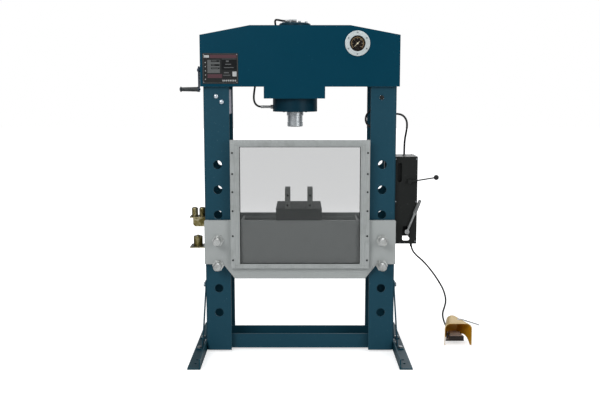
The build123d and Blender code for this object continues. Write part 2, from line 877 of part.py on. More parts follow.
def gauge_case():
    """The gauge's cup with its wide mounting flange, the dial's shelf and the needle's bearing."""
    front = -head_face_y - gauge_flange_thickness
    flange = rod_y(gauge_x, (front, -head_face_y), gauge_z, gauge_flange_radius)
    flange = fillet(flange.edges().group_by(Axis.Y)[0], gauge_edge)
    cup_back = -head_face_y + gauge_depth
    cup = rod_y(gauge_x, (-head_face_y - 1, cup_back), gauge_z, gauge_radius + gauge_wall)
    hollow = rod_y(gauge_x, (front - 1, cup_back - gauge_wall), gauge_z, gauge_radius)
    shelf_y = (dial_front_y() + dial_thickness, dial_front_y() + dial_thickness + dial_shelf)
    shelf = rod_y(gauge_x, shelf_y, gauge_z, gauge_radius + 1)
    shelf -= rod_y(gauge_x, shelf_y, gauge_z, dial_shelf_hole)
    bearing = rod_y(gauge_x, (shelf_y[0] + seat_gap, cup_back), gauge_z, bearing_radius)
    spindle_y = (shelf_y[0], dial_front_y() + spindle_length + seat_gap)
    case = flange + cup - hollow + shelf + bearing
    return case - rod_y(gauge_x, spindle_y, gauge_z, spindle_radius + running_clearance)


def dial_front_y():
    """The front face of the gauge's dial."""
    return -head_face_y - gauge_flange_thickness + dial_back


def gauge_dial():
    """The round dial on its shelf, with a hole for the spindle."""
    y = dial_front_y()
    dial = rod_y(gauge_x, (y, y + dial_thickness), gauge_z, gauge_radius - seat_gap)
    return dial - rod_y(gauge_x, (y - 1, y + dial_thickness + 1), gauge_z, spindle_radius + running_clearance)


def gauge_glass():
    """The flat glass in the mouth of the flange."""
    front = -head_face_y - gauge_flange_thickness + glass_set_back
    return rod_y(gauge_x, (front, front + glass_thickness), gauge_z, gauge_radius - running_clearance)


def gauge_needle():
    """The pointer with its hub, tail and spindle, drawn at zero."""
    blade = [
        (-needle_tail, -needle_tip),
        (0, -needle_width / 2),
        (needle_length, -needle_tip),
        (needle_length, needle_tip),
        (0, needle_width / 2),
        (-needle_tail, needle_tip),
    ]
    angle = radians(needle_zero_angle)
    turned = []
    for along, across in blade:
        x = gauge_x + along * cos(angle) - across * sin(angle)
        turned.append((x, gauge_z + along * sin(angle) + across * cos(angle)))
    back_y = dial_front_y() - needle_gap
    needle = plate_across(turned, (back_y - needle_thickness, back_y))
    needle += rod_y(gauge_x, (back_y - needle_thickness, back_y + 1), gauge_z, needle_hub_radius)
    return needle + rod_y(gauge_x, (back_y, dial_front_y() + spindle_length), gauge_z, spindle_radius)


def winch_side_plate():
    """The folded plate bolted inside the left column, seen through the column's open side."""
    front_y = -column_face_y + column_wall
    inner_x = -column_inner_x - winch_plate_inner_gap
    z_range = (winch_plate_bottom_z, winch_plate_top_z)
    plate = block(
        (-column_outer_x + winch_plate_outer_gap, inner_x),
        (front_y, front_y + winch_plate_thickness),
        z_range,
    )
    plate += block(
        (inner_x - winch_plate_thickness, inner_x),
        (front_y, front_y + 2 * winch_plate_half_depth),
        z_range,
    )
    bolt_y = (front_y - 1, front_y + winch_plate_thickness + 1)
    for x, z in winch_bolt_places:
        plate -= rod_y(x, bolt_y, z, winch_bolt_radius + bolt_clearance)
    return plate


def winch_housing():
    """The winch gear housing inside the left column, bored for the crank shaft."""
    housing = block(
        (housing_outer_x, housing_outer_x + housing_length),
        (-housing_half_depth, housing_half_depth),
        (housing_bottom_z, housing_top_z),
    )
    housing = fillet(housing.edges().filter_by(Axis.X), housing_corner)
    bore = (housing_outer_x - 1, housing_outer_x + shaft_depth + shaft_end_gap)
    return housing - rod_x(bore, 0, crank_z, crank_shaft_hole)


def winch_crank():
    """The crank: shaft, flat arm with rounded ends and the pin of the grip."""
    arm_x = (-crank_arm_x - crank_arm_thickness, -crank_arm_x)
    shaft_x = (arm_x[0] - crank_shaft_proud, housing_outer_x + shaft_depth)
    crank = rod_x(shaft_x, 0, crank_z, crank_shaft_radius)
    grip_z = crank_z - crank_throw
    crank += rod_x(arm_x, 0, crank_z, crank_boss_radius)
    crank += rod_x(arm_x, 0, grip_z, crank_tip_radius)
    side = crank_arm_width / 2
    tip = side - crank_arm_taper
    face = make_face(Polyline((-side, crank_z), (side, crank_z), (tip, grip_z), (-tip, grip_z), close=True))
    crank += Pos(arm_x[0], 0, 0) * extrude(Plane.YZ * face, crank_arm_thickness)
    crank += rod_x((arm_x[1], arm_x[1] + crank_hub_length), 0, crank_z, crank_hub_radius)
    pin_end = arm_x[0] - grip_length - 2 * slide_gap
    crank += rod_x((pin_end - grip_pin_head, arm_x[1] + grip_pin_head), 0, grip_z, grip_pin_radius)
    return crank + rod_x((pin_end - grip_pin_head, pin_end), 0, grip_z, grip_pin_head_radius)


def crank_grip():
    """The turned grip with a flange on each end, free on its pin."""
    start = -crank_arm_x - crank_arm_thickness - slide_gap - grip_length
    end = start + grip_length
    bore_radius_here = grip_pin_radius + running_clearance
    profile = [
        (start, bore_radius_here),
        (start, grip_radius),
        (start + grip_flange, grip_radius),
        (start + grip_flange + grip_neck, grip_radius - grip_waist),
        (end - grip_flange - grip_neck, grip_radius - grip_waist / 2),
        (end - grip_flange, grip_radius),
        (end, grip_radius),
        (end, bore_radius_here),
    ]
    face = make_face(Polyline(*profile, close=True))
    return Pos(0, 0, crank_z - crank_throw) * revolve(Plane.XZ * face, Axis.X, 360)


def upper_zinc_bracket():
    """The plated shelf on the left column with two gussets and two round-topped posts."""
    wall_x = -column_outer_x
    under_z = zinc_shelf_z - zinc_sheet
    depth = (-zinc_half_depth, zinc_half_depth)
    shelf = block((wall_x - zinc_reach, wall_x), depth, (under_z, zinc_shelf_z))
    shelf += block((wall_x - zinc_sheet, wall_x), depth, (zinc_gusset_z, zinc_shelf_z))
    gusset = [
        (wall_x, under_z),
        (wall_x - zinc_gusset_reach, under_z),
        (wall_x - zinc_gusset_reach, zinc_gusset_z + zinc_gusset_cut),
        (wall_x - zinc_gusset_reach + zinc_gusset_cut, zinc_gusset_z),
        (wall_x, zinc_gusset_z),
    ]
    for y in (-zinc_gusset_y, zinc_gusset_y - zinc_sheet):
        shelf += plate_across(gusset, (y, y + zinc_sheet))
    for distance in zinc_post_places:
        post = rod_z(wall_x - distance, 0, (zinc_shelf_z, zinc_post_top_z), zinc_post_radius)
        shelf += fillet(post.edges().group_by(Axis.Z)[-1], zinc_post_crown)
    return shelf


def lower_zinc_bracket():
    """The plated shelf on the left column that carries the drum."""
    wall_x = -column_outer_x
    depth = (-drum_shelf_half_depth, drum_shelf_half_depth)
    shelf = block((wall_x - zinc_reach, wall_x), depth, (drum_shelf_z - zinc_sheet, drum_shelf_z))
    return shelf + block((wall_x - zinc_sheet, wall_x), depth, (drum_shelf_z, drum_shelf_top_z))


def zinc_drum():
    """The round drum that stands on the lower bracket."""
    x = -column_outer_x - drum_distance
    drum = rod_z(x, 0, (drum_shelf_z, drum_top_z), drum_radius)
    drum = fillet(drum.edges().group_by(Axis.Z)[-1], drum_edge)
    return drum + rod_z(x, 0, (drum_top_z, drum_top_z + drum_edge * 2), drum_stub_radius)


def pump_cover():
    """The folded sheet cover, open behind and below, with a slot and a lever opening."""
    cover = block(
        (column_outer_x, pump_outer_x),
        (-pump_half_depth, pump_half_depth),
        (pump_bottom_z, pump_top_z),
    )
    middle_z = (pump_bottom_z + pump_top_z) / 2
    outer_corner = (pump_outer_x, -pump_half_depth, middle_z)
    cover = fillet(cover.edges().filter_by(Axis.Z).sort_by_distance(outer_corner)[0], pump_fold)
    inside_y = pump_half_depth - pump_sheet
    inner = block(
        (column_outer_x + pump_sheet, pump_outer_x - pump_sheet),
        (-inside_y, pump_half_depth + 1),
        (pump_bottom_z - 1, pump_top_z - pump_sheet),
    )
    cover -= fillet(inner.edges().filter_by(Axis.Z).sort_by_distance(outer_corner)[0], pump_fold - pump_sheet)
    depth = (-pump_half_depth - 1, -inside_y + 1)
    slot_middle = (slot_left + slot_right) / 2
    slot_radius = (slot_right - slot_left) / 2
    cover -= block((slot_left, slot_right), depth, (slot_bottom_z + slot_radius, slot_top_z - slot_radius))
    for z in (slot_bottom_z + slot_radius, slot_top_z - slot_radius):
        cover -= rod_y(slot_middle, depth, z, slot_radius)
    port = block((port_left, port_right), depth, (port_bottom_z, port_top_z))
    cover -= fillet(port.edges().filter_by(Axis.Y), port_corner)
    cover -= rod_y(valve_x, depth, valve_z, valve_spindle_radius + cover_hole_gap)
    hose_top_z = (pump_top_z - pump_sheet - 1, pump_top_z + 1)
    cover -= rod_z(pump_hose_x, 0, hose_top_z, hose_radius + cover_hose_gap)
    wall = (column_outer_x - 1, column_outer_x + pump_sheet + 1)
    return cover - rod_x(wall, return_pipe_y, return_pipe_z, pipe_hole)


def pump_unit():
    """The oil tank with the pump body cast under it, bored for the valve and lever spindles."""
    inner_x = column_outer_x + pump_sheet
    tank = block((inner_x, tank_outer_x), (-tank_half_depth, tank_half_depth), (tank_bottom_z, tank_top_z))
    tank = fillet(tank.edges().filter_by(Axis.Z), tank_corner)
    port_z = (tank_top_z - tank_port_depth, tank_top_z + 1)
    tank -= rod_z(pump_hose_x, 0, port_z, fitting_radius + running_clearance)
    pipe_x = (inner_x - 1, inner_x + pipe_seat)
    tank -= rod_x(pipe_x, return_pipe_y, return_pipe_z, pipe_radius + running_clearance)
    valve_bore = (-tank_half_depth - 1, -tank_half_depth + valve_seat + shaft_end_gap)
    tank -= rod_y(valve_x, valve_bore, valve_z, valve_spindle_radius + running_clearance)
    body_y = (-block_half_depth, block_half_depth)
    body = block((inner_x, block_outer_x), body_y, (block_bottom_z, tank_bottom_z))
    body = chamfer(body.edges().filter_by(Axis.Z), block_chamfer)
    boss_y = -block_half_depth - lever_boss_length
    body += rod_y(lever_x, (boss_y, -block_half_depth), lever_z, lever_boss_radius)
    lever_bore = (boss_y - 1, boss_y + lever_seat + shaft_end_gap)
    body -= rod_y(lever_x, lever_bore, lever_z, lever_radius + running_clearance)
    plug_x, plug_z = pump_plug_place
    plug_y = (-block_half_depth - pump_plug_height, -block_half_depth)
    return tank + body + hexagon_y(plug_x, plug_y, plug_z, pump_plug_flats)


def junction_box():
    """The pedal's junction box on the inner side of the cover."""
    box = block(
        (junction_inner_x, pump_outer_x - pump_sheet),
        (-junction_half_depth, junction_half_depth),
        (junction_bottom_z, junction_top_z),
    )
    return fillet(box.edges().filter_by(Axis.X), junction_corner)


def tapered_rod(start, end, start_radius, end_radius):
    """A round bar that tapers from one point to another."""
    along = Vector(*end) - Vector(*start)
    first = Plane(origin=start, z_dir=along) * Circle(start_radius)
    last = Plane(origin=end, z_dir=along) * Circle(end_radius)
    return loft([first, last])


def along_lever(start, end, distance):
    """The point at a distance from one point towards another."""
    direction = (Vector(*end) - Vector(*start)).normalized()
    point = Vector(*start) + direction * distance
    return (point.X, point.Y, point.Z)


def valve_line():
    """The pivot and the ball's centre of the control lever, and the distance between them."""
    pivot = (valve_x, valve_y, valve_z)
    knob = (knob_x, valve_y, knob_z)
    return pivot, knob, hypot(knob_x - valve_x, knob_z - valve_z)


def valve_lever():
    """The control lever: spindle in the tank, round hub, tapered socket and a thin rod."""
    pivot, knob, reach = valve_line()
    lever = rod_y(valve_x, (valve_y, -tank_half_depth + valve_seat), valve_z, valve_spindle_radius)
    hub = rod_y(valve_x, (valve_y - valve_hub_half, valve_y + valve_hub_half), valve_z, valve_hub_radius)
    lever += fillet(hub.edges().group_by(Axis.Y)[0], hub_edge)
    lever += tapered_rod(pivot, along_lever(pivot, knob, valve_socket_end), *valve_socket_radii)
    rod_end = along_lever(pivot, knob, reach - 2 * knob_radius + knob_bore_depth)
    return lever + tapered_rod(pivot, rod_end, valve_rod_radius, valve_rod_radius)


def valve_knob():
    """The ball on the control lever, bored for the rod."""
    pivot, knob, reach = valve_line()
    bore_start = along_lever(pivot, knob, reach - 2 * knob_radius)
    bore_end = along_lever(pivot, knob, reach - 2 * knob_radius + knob_bore_depth)
    bore_radius_here = valve_rod_radius + running_clearance
    ball = Pos(*knob) * Sphere(knob_radius)
    return ball - tapered_rod(bore_start, bore_end, bore_radius_here, bore_radius_here)


def lever_line():
    """The pivot and the top of the hand pump lever, and the distance between them."""
    pivot = (lever_x, lever_y, lever_z)
    top = (lever_top_x, lever_y, lever_top_z)
    return pivot, top, hypot(lever_top_x - lever_x, lever_top_z - lever_z)


def pump_lever():
    """The hand pump lever: spindle in the pump body, hub and a straight rod."""
    pivot, top, reach = lever_line()
    boss_y = -block_half_depth - lever_boss_length
    lever = rod_y(lever_x, (lever_y, boss_y + lever_seat), lever_z, lever_radius)
    hub = rod_y(lever_x, (lever_y - lever_hub_half, lever_y + lever_hub_half), lever_z, lever_hub_radius)
    lever += fillet(hub.edges().group_by(Axis.Y)[0], hub_edge)
    rod_end = along_lever(pivot, top, reach - lever_grip_wall_end)
    lever += tapered_rod(pivot, rod_end, lever_radius, lever_radius)
    collar_start = along_lever(pivot, top, reach - lever_grip_length - lever_collar_length)
    collar_end = along_lever(pivot, top, reach - lever_grip_length)
    return lever + tapered_rod(collar_start, collar_end, lever_collar_radius, lever_collar_radius)


def pump_grip():
    """The moulded grip on the hand pump lever, rounded at its end."""
    pivot, top, reach = lever_line()
    start = along_lever(pivot, top, reach - lever_grip_length)
    grip = tapered_rod(start, top, lever_grip_radius, lever_grip_radius - lever_grip_taper)
    end_circle = grip.edges().filter_by(GeomType.CIRCLE).sort_by_distance(top)[0]
    grip = fillet(end_circle, lever_grip_edge)
    bore_start = along_lever(pivot, top, reach - lever_grip_length - 1)
    bore_end = along_lever(pivot, top, reach - lever_grip_wall_end)
    bore_radius_here = lever_radius + running_clearance
    return grip - tapered_rod(bore_start, bore_end, bore_radius_here, bore_radius_here)


def hood_section(x, y, width, height, bottom_z):
    """One upright section of the pedal hood, rounded at its upper corners."""
    outline = Rectangle(width, height)
    outline = fillet(outline.vertices().group_by(Axis.Y)[-1], min(pedal_crown, width / 2 - 1))
    return Plane(origin=(x, y, bottom_z + height / 2), x_dir=(1, 0, 0), z_dir=(0, -1, 0)) * outline


def pedal_hood():
    """The tapered hood over the treadle, closed behind, its sides arched above the floor."""
    outer = loft([
        hood_section(pedal_front_x, pedal_front_y, pedal_front_width, pedal_height, 0),
        hood_section(pedal_back_x, pedal_back_y, pedal_back_width, pedal_height, 0),
    ])
    wall = pedal_sheet
    inner = loft([
        hood_section(pedal_front_x, pedal_front_y - 1, pedal_front_width - 2 * wall, pedal_height, -wall),
        hood_section(pedal_back_x, pedal_back_y - wall, pedal_back_width - 2 * wall, pedal_height, -wall),
    ])
    arch_z = pedal_arch_top_z - pedal_arch_radius
    across = (pedal_front_x - pedal_front_width, pedal_front_x + pedal_front_width)
    arch = rod_x(across, pedal_arch_y, arch_z, pedal_arch_radius)
    return outer - inner - arch


def hood_inside(y):
    """The lowest and highest X between the hood's side walls at a place along it."""
    start_y = pedal_front_y - 1
    share = (y - start_y) / (pedal_back_y - pedal_sheet - start_y)
    middle = pedal_front_x + share * (pedal_back_x - pedal_front_x)
    width = pedal_front_width + share * (pedal_back_width - pedal_front_width)
    half = width / 2 - pedal_sheet - seat_gap
    return middle - half, middle + half


def pedal_base():
    """The base plate inside the back of the hood, with two hinge lugs and a seat for the spring."""
    back_y = pedal_back_y - pedal_sheet
    front_left, front_right = hood_inside(pedal_base_front_y)
    back_left, back_right = hood_inside(back_y)
    outline = [
        (front_left, pedal_base_front_y),
        (front_right, pedal_base_front_y),
        (back_right, back_y),
        (back_left, back_y),
    ]
    base = extrude(make_face(Polyline(*outline, close=True)), pedal_base_height)
    lug_outer = treadle_back_width / 2 + 2 * treadle_lug
    lug_inner = lug_outer - treadle_lug
    lug_y = (treadle_hinge_y - treadle_lug_radius, treadle_hinge_y + treadle_lug_radius)
    for side in both_sides:
        lug_x = sorted((treadle_x + side * lug_inner, treadle_x + side * lug_outer))
        base += block(lug_x, lug_y, (pedal_base_height - 1, treadle_hinge_z))
        base += rod_x(lug_x, treadle_hinge_y, treadle_hinge_z, treadle_lug_radius)
    base -= rod_x(
        (treadle_x - lug_outer - 1, treadle_x + lug_outer + 1),
        treadle_hinge_y,
        treadle_hinge_z,
        treadle_pin_radius + running_clearance,
    )
    seat_z = (pedal_base_height - spring_seat, pedal_base_height + 1)
    return base - rod_z(treadle_x, spring_y, seat_z, spring_radius + spring_room)


def pedal_treadle():
    """The treadle: tapered in plan, wedge shaped from the side, grooved on top."""
    front = treadle_front_width / 2
    back = treadle_back_width / 2
    plan = [
        (treadle_x - front, treadle_front_y),
        (treadle_x + front, treadle_front_y),
        (treadle_x + back, treadle_back_y),
        (treadle_x - back, treadle_back_y),
    ]
    solid = extrude(make_face(Polyline(*plan, close=True)), pedal_height)
    profile = [
        (treadle_front_y, treadle_bottom_z),
        (treadle_front_y, treadle_top_z),
        (treadle_back_y, treadle_top_z - treadle_back_drop),
        (treadle_back_y, treadle_hinge_z - treadle_back_under),
        (treadle_hinge_y - treadle_heel, treadle_bottom_z),
    ]
    side = extrude(Plane.YZ * make_face(Polyline(*profile, close=True)), treadle_front_width, both=True)
    treadle = solid & (Pos(treadle_x, 0, 0) * side)
    across = (treadle_x - treadle_front_width, treadle_x + treadle_front_width)
    for groove in range(1, treadle_grooves + 1):
        y = treadle_front_y + groove * groove_pitch
        treadle -= block(across, (y, y + groove_width), (treadle_top_z - groove_depth, treadle_top_z + 1))
    treadle -= rod_x(
        across,
        treadle_hinge_y,
        treadle_hinge_z,
        treadle_pin_radius + running_clearance,
    )
    well = (treadle_bottom_z - 1, treadle_bottom_z + spring_well)
    return treadle - rod_z(treadle_x, spring_y, well, spring_radius + spring_room)


def pedal_hinge_pin():
    """The pin through the lugs and the treadle."""
    reach = treadle_back_width / 2 + 2 * treadle_lug
    return rod_x((treadle_x - reach, treadle_x + reach), treadle_hinge_y, treadle_hinge_z, treadle_pin_radius)


def pedal_spring():
    """The coil spring between the base and the treadle."""
    low = pedal_base_height - spring_seat + spring_wire
    height = treadle_bottom_z + spring_well - low - spring_wire
    coil = Helix(pitch=height / spring_turns, height=height, radius=spring_radius)
    section = Plane(origin=coil @ 0, z_dir=coil % 0) * Circle(spring_wire)
    return Pos(treadle_x, spring_y, low) * sweep(section, path=coil, is_frenet=True)


def pedal_latch():
    """The plain steel strip that lies on the hood and slopes down to the right."""
    top_z = pedal_height + latch_thickness
    line = [(latch_start_x, top_z), (latch_bend_x, top_z), (latch_end_x, top_z - latch_drop)]
    middle_y = (pedal_front_y + pedal_back_y) / 2
    strip_face = bent_strip(line, latch_thickness)
    return plate_across(strip_face, (middle_y - latch_width / 2, middle_y + latch_width / 2))


def cable_glands():
    """The two glands of the pedal cable, one under the junction box and one behind the pedal."""
    upper = rod_z(gland_x, gland_y, (junction_bottom_z - gland_length, junction_bottom_z), gland_body_radius)
    upper = chamfer(upper.edges().group_by(Axis.Z)[0], gland_chamfer)
    upper += hexagon_z(gland_x, gland_y, (junction_bottom_z - gland_nut, junction_bottom_z), gland_flats)
    rear = rod_y(pedal_back_x, (pedal_back_y, pedal_back_y + gland_length), pedal_gland_z, gland_body_radius)
    rear = chamfer(rear.edges().group_by(Axis.Y)[-1], gland_chamfer)
    rear += hexagon_y(pedal_back_x, (pedal_back_y, pedal_back_y + gland_nut), pedal_gland_z, gland_flats)
    return Compound(children=[upper, rear])


def hose_fittings():
    """The elbow on the cylinder cap, the fitting on its collar and the one on the tank."""
    elbow = rod_z(cylinder_x, 0, (cap_top_z - elbow_seat, elbow_z), fitting_radius)
    elbow += rod_x((top_hose_route[0][0], cylinder_x + elbow_tail), 0, elbow_z, elbow_radius)
    elbow += hexagon_z(cylinder_x, 0, (cap_top_z, cap_top_z + elbow_nut), fitting_flats)
    collar_x = cylinder_x - collar_radius
    low_end = collar_x + fitting_seat - shaft_end_gap
    low = rod_x((low_hose_route[0][0], low_end), 0, low_fitting_z, fitting_radius)
    low += hexagon_x((collar_x - low_nut, collar_x), 0, low_fitting_z, low_flats)
    tank_low_z = tank_top_z - tank_port_depth + shaft_end_gap
    tank = rod_z(pump_hose_x, 0, (tank_low_z, pump_hose_route[-1][2]), fitting_radius)
    tank += hexagon_z(pump_hose_x, 0, (tank_top_z, tank_top_z + tank_nut), fitting_flats)
    return Compound(children=[elbow, low, tank])


def pipe(points):
    """A rigid steel pipe with even bends."""
    path = FilletPolyline(*points, radius=pipe_bend)
    section = Plane(origin=path @ 0, z_dir=path % 0) * Circle(pipe_radius)
    return sweep(section, path=path)


def hydraulic_pipes():
    """The two pipes inside the head, one to the pump hose and one down the right column."""
    pressure = pipe([
        top_hose_route[-1],
        (top_hose_route[-1][0], upper_line_y, pressure_run_z),
        (pressure_pipe_x, upper_line_y, pressure_run_z),
        pump_hose_route[0],
    ])
    back = pipe([
        low_hose_route[-1],
        (low_hose_route[-1][0], upper_line_y, return_run_z),
        (return_pipe_x, upper_line_y, return_run_z),
        (return_pipe_x, upper_line_y, return_jog_top_z),
        (return_pipe_x, return_pipe_y, return_jog_bottom_z),
        (return_pipe_x, return_pipe_y, return_pipe_z),
        (column_outer_x + pump_sheet + pipe_seat - shaft_end_gap, return_pipe_y, return_pipe_z),
    ])
    return Compound(children=[pressure, back])


# Routes of the hoses and the cable, each point chosen by hand
top_hose_route = [
    (-66.0, 0.0, elbow_z),
    (-100.0, 0.0, elbow_z),
    (-130.0, 14.0, 2002.0),
    (-148.0, 42.0, 2005.0),
    (-152.0, 77.0, 1994.0),
    (-147.0, 106.0, 1966.0),
    (-141.0, upper_line_y, 1928.0),
    (-141.0, upper_line_y, 1890.0),
]
low_hose_route = [
    (-218.0, 0.0, low_fitting_z),
    (-240.0, 0.0, low_fitting_z),
    (-260.0, 0.0, 1492.0),
    (-274.0, 1.0, 1508.0),
    (-280.0, 3.0, 1532.0),
    (-279.0, 11.0, 1562.0),
    (-275.0, 30.0, 1596.0),
    (-271.0, 60.0, 1634.0),
    (-270.0, 90.0, 1668.0),
    (-270.0, upper_line_y, 1709.0),
    (-270.0, upper_line_y, 1750.0),
]
pump_hose_route = [
    (pressure_pipe_x, upper_line_y, 1560.0),
    (pressure_pipe_x, upper_line_y, 1520.0),
    (448.0, 103.0, 1484.0),
    (430.0, 74.0, 1460.0),
    (408.0, 36.0, 1440.0),
    (396.0, -2.0, 1414.0),
    (400.0, -34.0, 1385.0),
    (424.0, -50.0, 1364.0),
    (458.0, -46.0, 1358.0),
    (490.0, -32.0, 1373.0),
    (514.0, -14.0, 1399.0),
    (536.0, -3.0, 1426.0),
    (561.0, 0.0, 1441.0),
    (591.0, 0.0, 1443.0),
    (618.0, 0.0, 1437.0),
    (638.0, 0.0, 1420.0),
    (649.0, 0.0, 1395.0),
    (650.0, 0.0, 1364.0),
    (645.0, 0.0, 1330.0),
    (637.0, 0.0, 1286.0),
    (pump_hose_x, 0.0, 1234.0),
    (pump_hose_x, 0.0, tank_top_z + tank_fitting_proud),
]
cable_route = [
    (gland_x, gland_y, junction_bottom_z - gland_length),
    (gland_x, gland_y, 626.0),
    (712.0, 20.0, 576.0),
    (776.0, 84.0, 518.0),
    (841.0, 150.0, 440.0),
    (896.0, 210.0, 362.0),
    (946.0, 286.0, 280.0),
    (973.0, 336.0, 198.0),
    (967.0, 376.0, 134.0),
    (960.0, 396.0, 92.0),
    (966.0, 396.0, 54.0),
    (976.0, 379.0, 24.0),
    (985.0, 349.0, 6.2),
    (988.0, 312.0, 6.2),
    (986.0, 275.0, 14.5),
    (pedal_back_x, 237.0, pedal_gland_z),
    (pedal_back_x, pedal_back_y + gland_length, pedal_gland_z),
]


def cord(name, points, radius):
    """A round cord along straight runs and tangent arcs, with its bend radii printed."""
    runs = [Vector(*after) - Vector(*before) for before, after in zip(points, points[1:])]
    bends = []
    for before, after in zip(runs, runs[1:]):
        half_turn = radians(before.get_angle(after)) / 2
        bends.append(0.45 * min(before.length, after.length) / tan(half_turn))
    path = FilletPolyline(*points, radius=bends)
    section = Plane(origin=path @ 0, z_dir=path % 0) * Circle(radius)
    tube = sweep(section, path=path)
    expected = pi * radius * radius * path.length
    print(name, "runs", [round(run.length) for run in runs])
    print(name, "radii", [round(bend) for bend in bends], "length", round(path.length))
    print(name, "volume over section times length", round(tube.volume / expected, 4))
    return tube


pieces = {
    "column_left": column(-1),
    "column_right": column(1),
    "head_plate_front": head_plate(-1),
    "head_plate_rear": head_plate(1),
    "cylinder_mount": cylinder_mount(),
    "lower_beam": lower_beam(),
    "foot_left": foot(-1),
    "foot_right": foot(1),
    "foot_braces": foot_braces(),
    "foot_bolts": foot_bolts(),
    "column_bolts": column_bolts(),
    "cylinder_body": cylinder_body(),
    "cylinder_cap": cylinder_cap(),
    "cylinder_gland": cylinder_gland(),
    "ram_rod": ram_rod(),
    "ram_piston": ram_piston(),
    "ram_nose": ram_nose(),
    "hose_fittings": hose_fittings(),
    "hydraulic_pipes": hydraulic_pipes(),
    "gauge_case": gauge_case(),
    "gauge_dial": gauge_dial(),
    "gauge_needle": gauge_needle(),
    "gauge_glass": gauge_glass(),
    "winch_side_plate": winch_side_plate(),
    "winch_housing": winch_housing(),
    "winch_crank": winch_crank(),
    "crank_grip": crank_grip(),
    "upper_zinc_bracket": upper_zinc_bracket(),
    "lower_zinc_bracket": lower_zinc_bracket(),
    "zinc_drum": zinc_drum(),
    "table_plate_front": table_plate(-1),
    "table_plate_rear": table_plate(1),
    "table_webs": table_webs(),
    "pin_upper_left": table_pin(-hole_x, upper_pin_z),
    "pin_upper_right": table_pin(hole_x, upper_pin_z),
    "pin_lower_left": table_pin(-hole_x, lower_pin_z),
    "pin_lower_right": table_pin(hole_x, lower_pin_z),
    "arbor_plate": arbor_plate(),
    "arbor_uprights": arbor_uprights(),
    "guard_rails": guard_rails(),
    "guard_sash": guard_sash(),
    "guard_pane": pane_pocket(seat_gap / 2),
    "pump_cover": pump_cover(),
    "pump_unit": pump_unit(),
    "junction_box": junction_box(),
    "valve_lever": valve_lever(),
    "valve_knob": valve_knob(),
    "pump_lever": pump_lever(),
    "pump_grip": pump_grip(),
    "cable_glands": cable_glands(),
    "pedal_hood": pedal_hood(),
    "pedal_base": pedal_base(),
    "pedal_treadle": pedal_treadle(),
    "pedal_hinge_pin": pedal_hinge_pin(),
    "pedal_spring": pedal_spring(),
    "pedal_latch": pedal_latch(),
    "top_hose": cord("top_hose", top_hose_route, hose_radius),
    "low_hose": cord("low_hose", low_hose_route, hose_radius),
    "pump_hose": cord("pump_hose", pump_hose_route, hose_radius),
    "pedal_cable": cord("pedal_cable", cable_route, cable_radius),
}

os.makedirs("parts", exist_ok=True)
for name, shape in pieces.items():
    shape.label = name
    export_step(shape, os.path.join("parts", name + ".step"))
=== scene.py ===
import bpy
import math
from mathutils import Matrix, Vector


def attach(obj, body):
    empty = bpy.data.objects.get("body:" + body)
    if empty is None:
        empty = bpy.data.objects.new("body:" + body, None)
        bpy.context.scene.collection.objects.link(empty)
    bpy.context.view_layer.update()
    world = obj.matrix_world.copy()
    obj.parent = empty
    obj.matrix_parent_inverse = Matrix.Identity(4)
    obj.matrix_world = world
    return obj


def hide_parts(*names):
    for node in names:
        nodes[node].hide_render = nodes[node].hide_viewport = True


# Hydraulic workshop press: finishes, hoses, cable, small fasteners, welds, dial and data plate.
# Metres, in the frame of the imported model. The front of the press faces -Y.

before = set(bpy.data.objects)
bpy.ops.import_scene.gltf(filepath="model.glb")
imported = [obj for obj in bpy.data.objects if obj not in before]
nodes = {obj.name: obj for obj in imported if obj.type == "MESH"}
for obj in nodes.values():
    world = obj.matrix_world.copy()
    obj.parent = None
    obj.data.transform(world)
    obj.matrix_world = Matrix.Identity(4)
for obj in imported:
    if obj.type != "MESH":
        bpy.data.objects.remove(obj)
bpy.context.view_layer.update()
scene = bpy.context.scene

hose_radius = 0.006
cable_radius = 0.0055
head_face_y = -0.1655
gauge_x = 0.334
gauge_z = 1.854
dial_y = -0.1635
cylinder_x = -0.030
upper_line_y = 0.1185


def screen(red, green, blue):
    """A colour as it looks on screen, 0 to 255, turned into the linear values of a shader."""
    linear = []
    for value in (red, green, blue):
        share = value / 255
        linear.append(share / 12.92 if share <= 0.04045 else ((share + 0.055) / 1.055) ** 2.4)
    return (*linear, 1.0)


def fill(tree, node, inputs):
    """Sets inputs of a node, each from a value, a socket or the first output of another node."""
    for socket, source in inputs.items():
        if isinstance(source, bpy.types.Node):
            source = source.outputs[0]
        if isinstance(source, bpy.types.NodeSocket):
            tree.links.new(source, node.inputs[socket])
        else:
            node.inputs[socket].default_value = source


def add(tree, kind, inputs=None, **settings):
    """A node of a kind with its settings and its inputs."""
    node = tree.nodes.new(kind)
    for setting, value in settings.items():
        setattr(node, setting, value)
    fill(tree, node, inputs or {})
    return node


def maths(tree, operation, *inputs):
    """A node that works on numbers."""
    return add(tree, "ShaderNodeMath", dict(enumerate(inputs)), operation=operation)


def vectors(tree, operation, *inputs):
    """A node that works on vectors."""
    return add(tree, "ShaderNodeVectorMath", dict(enumerate(inputs)), operation=operation)


def scaled(tree, vector, scale):
    """A node that makes a vector longer or shorter."""
    return add(tree, "ShaderNodeVectorMath", {0: vector, "Scale": scale}, operation="SCALE")


def ramp(tree, value, given, wanted):
    """A node that carries a number over from one range to another."""
    ends = {"From Min": given[0], "From Max": given[1], "To Min": wanted[0], "To Max": wanted[1]}
    return add(tree, "ShaderNodeMapRange", {"Value": value, **ends})


def blend(tree, factor, first, second):
    """The colour between a first and a second one."""
    inputs = {"Factor": factor, "A": first, "B": second}
    return add(tree, "ShaderNodeMix", inputs, data_type="RGBA").outputs["Result"]


def noise(tree, place, scale, detail, **others):
    """A node for a noise texture."""
    return add(tree, "ShaderNodeTexNoise", {"Vector": place, "Scale": scale, "Detail": detail, **others})


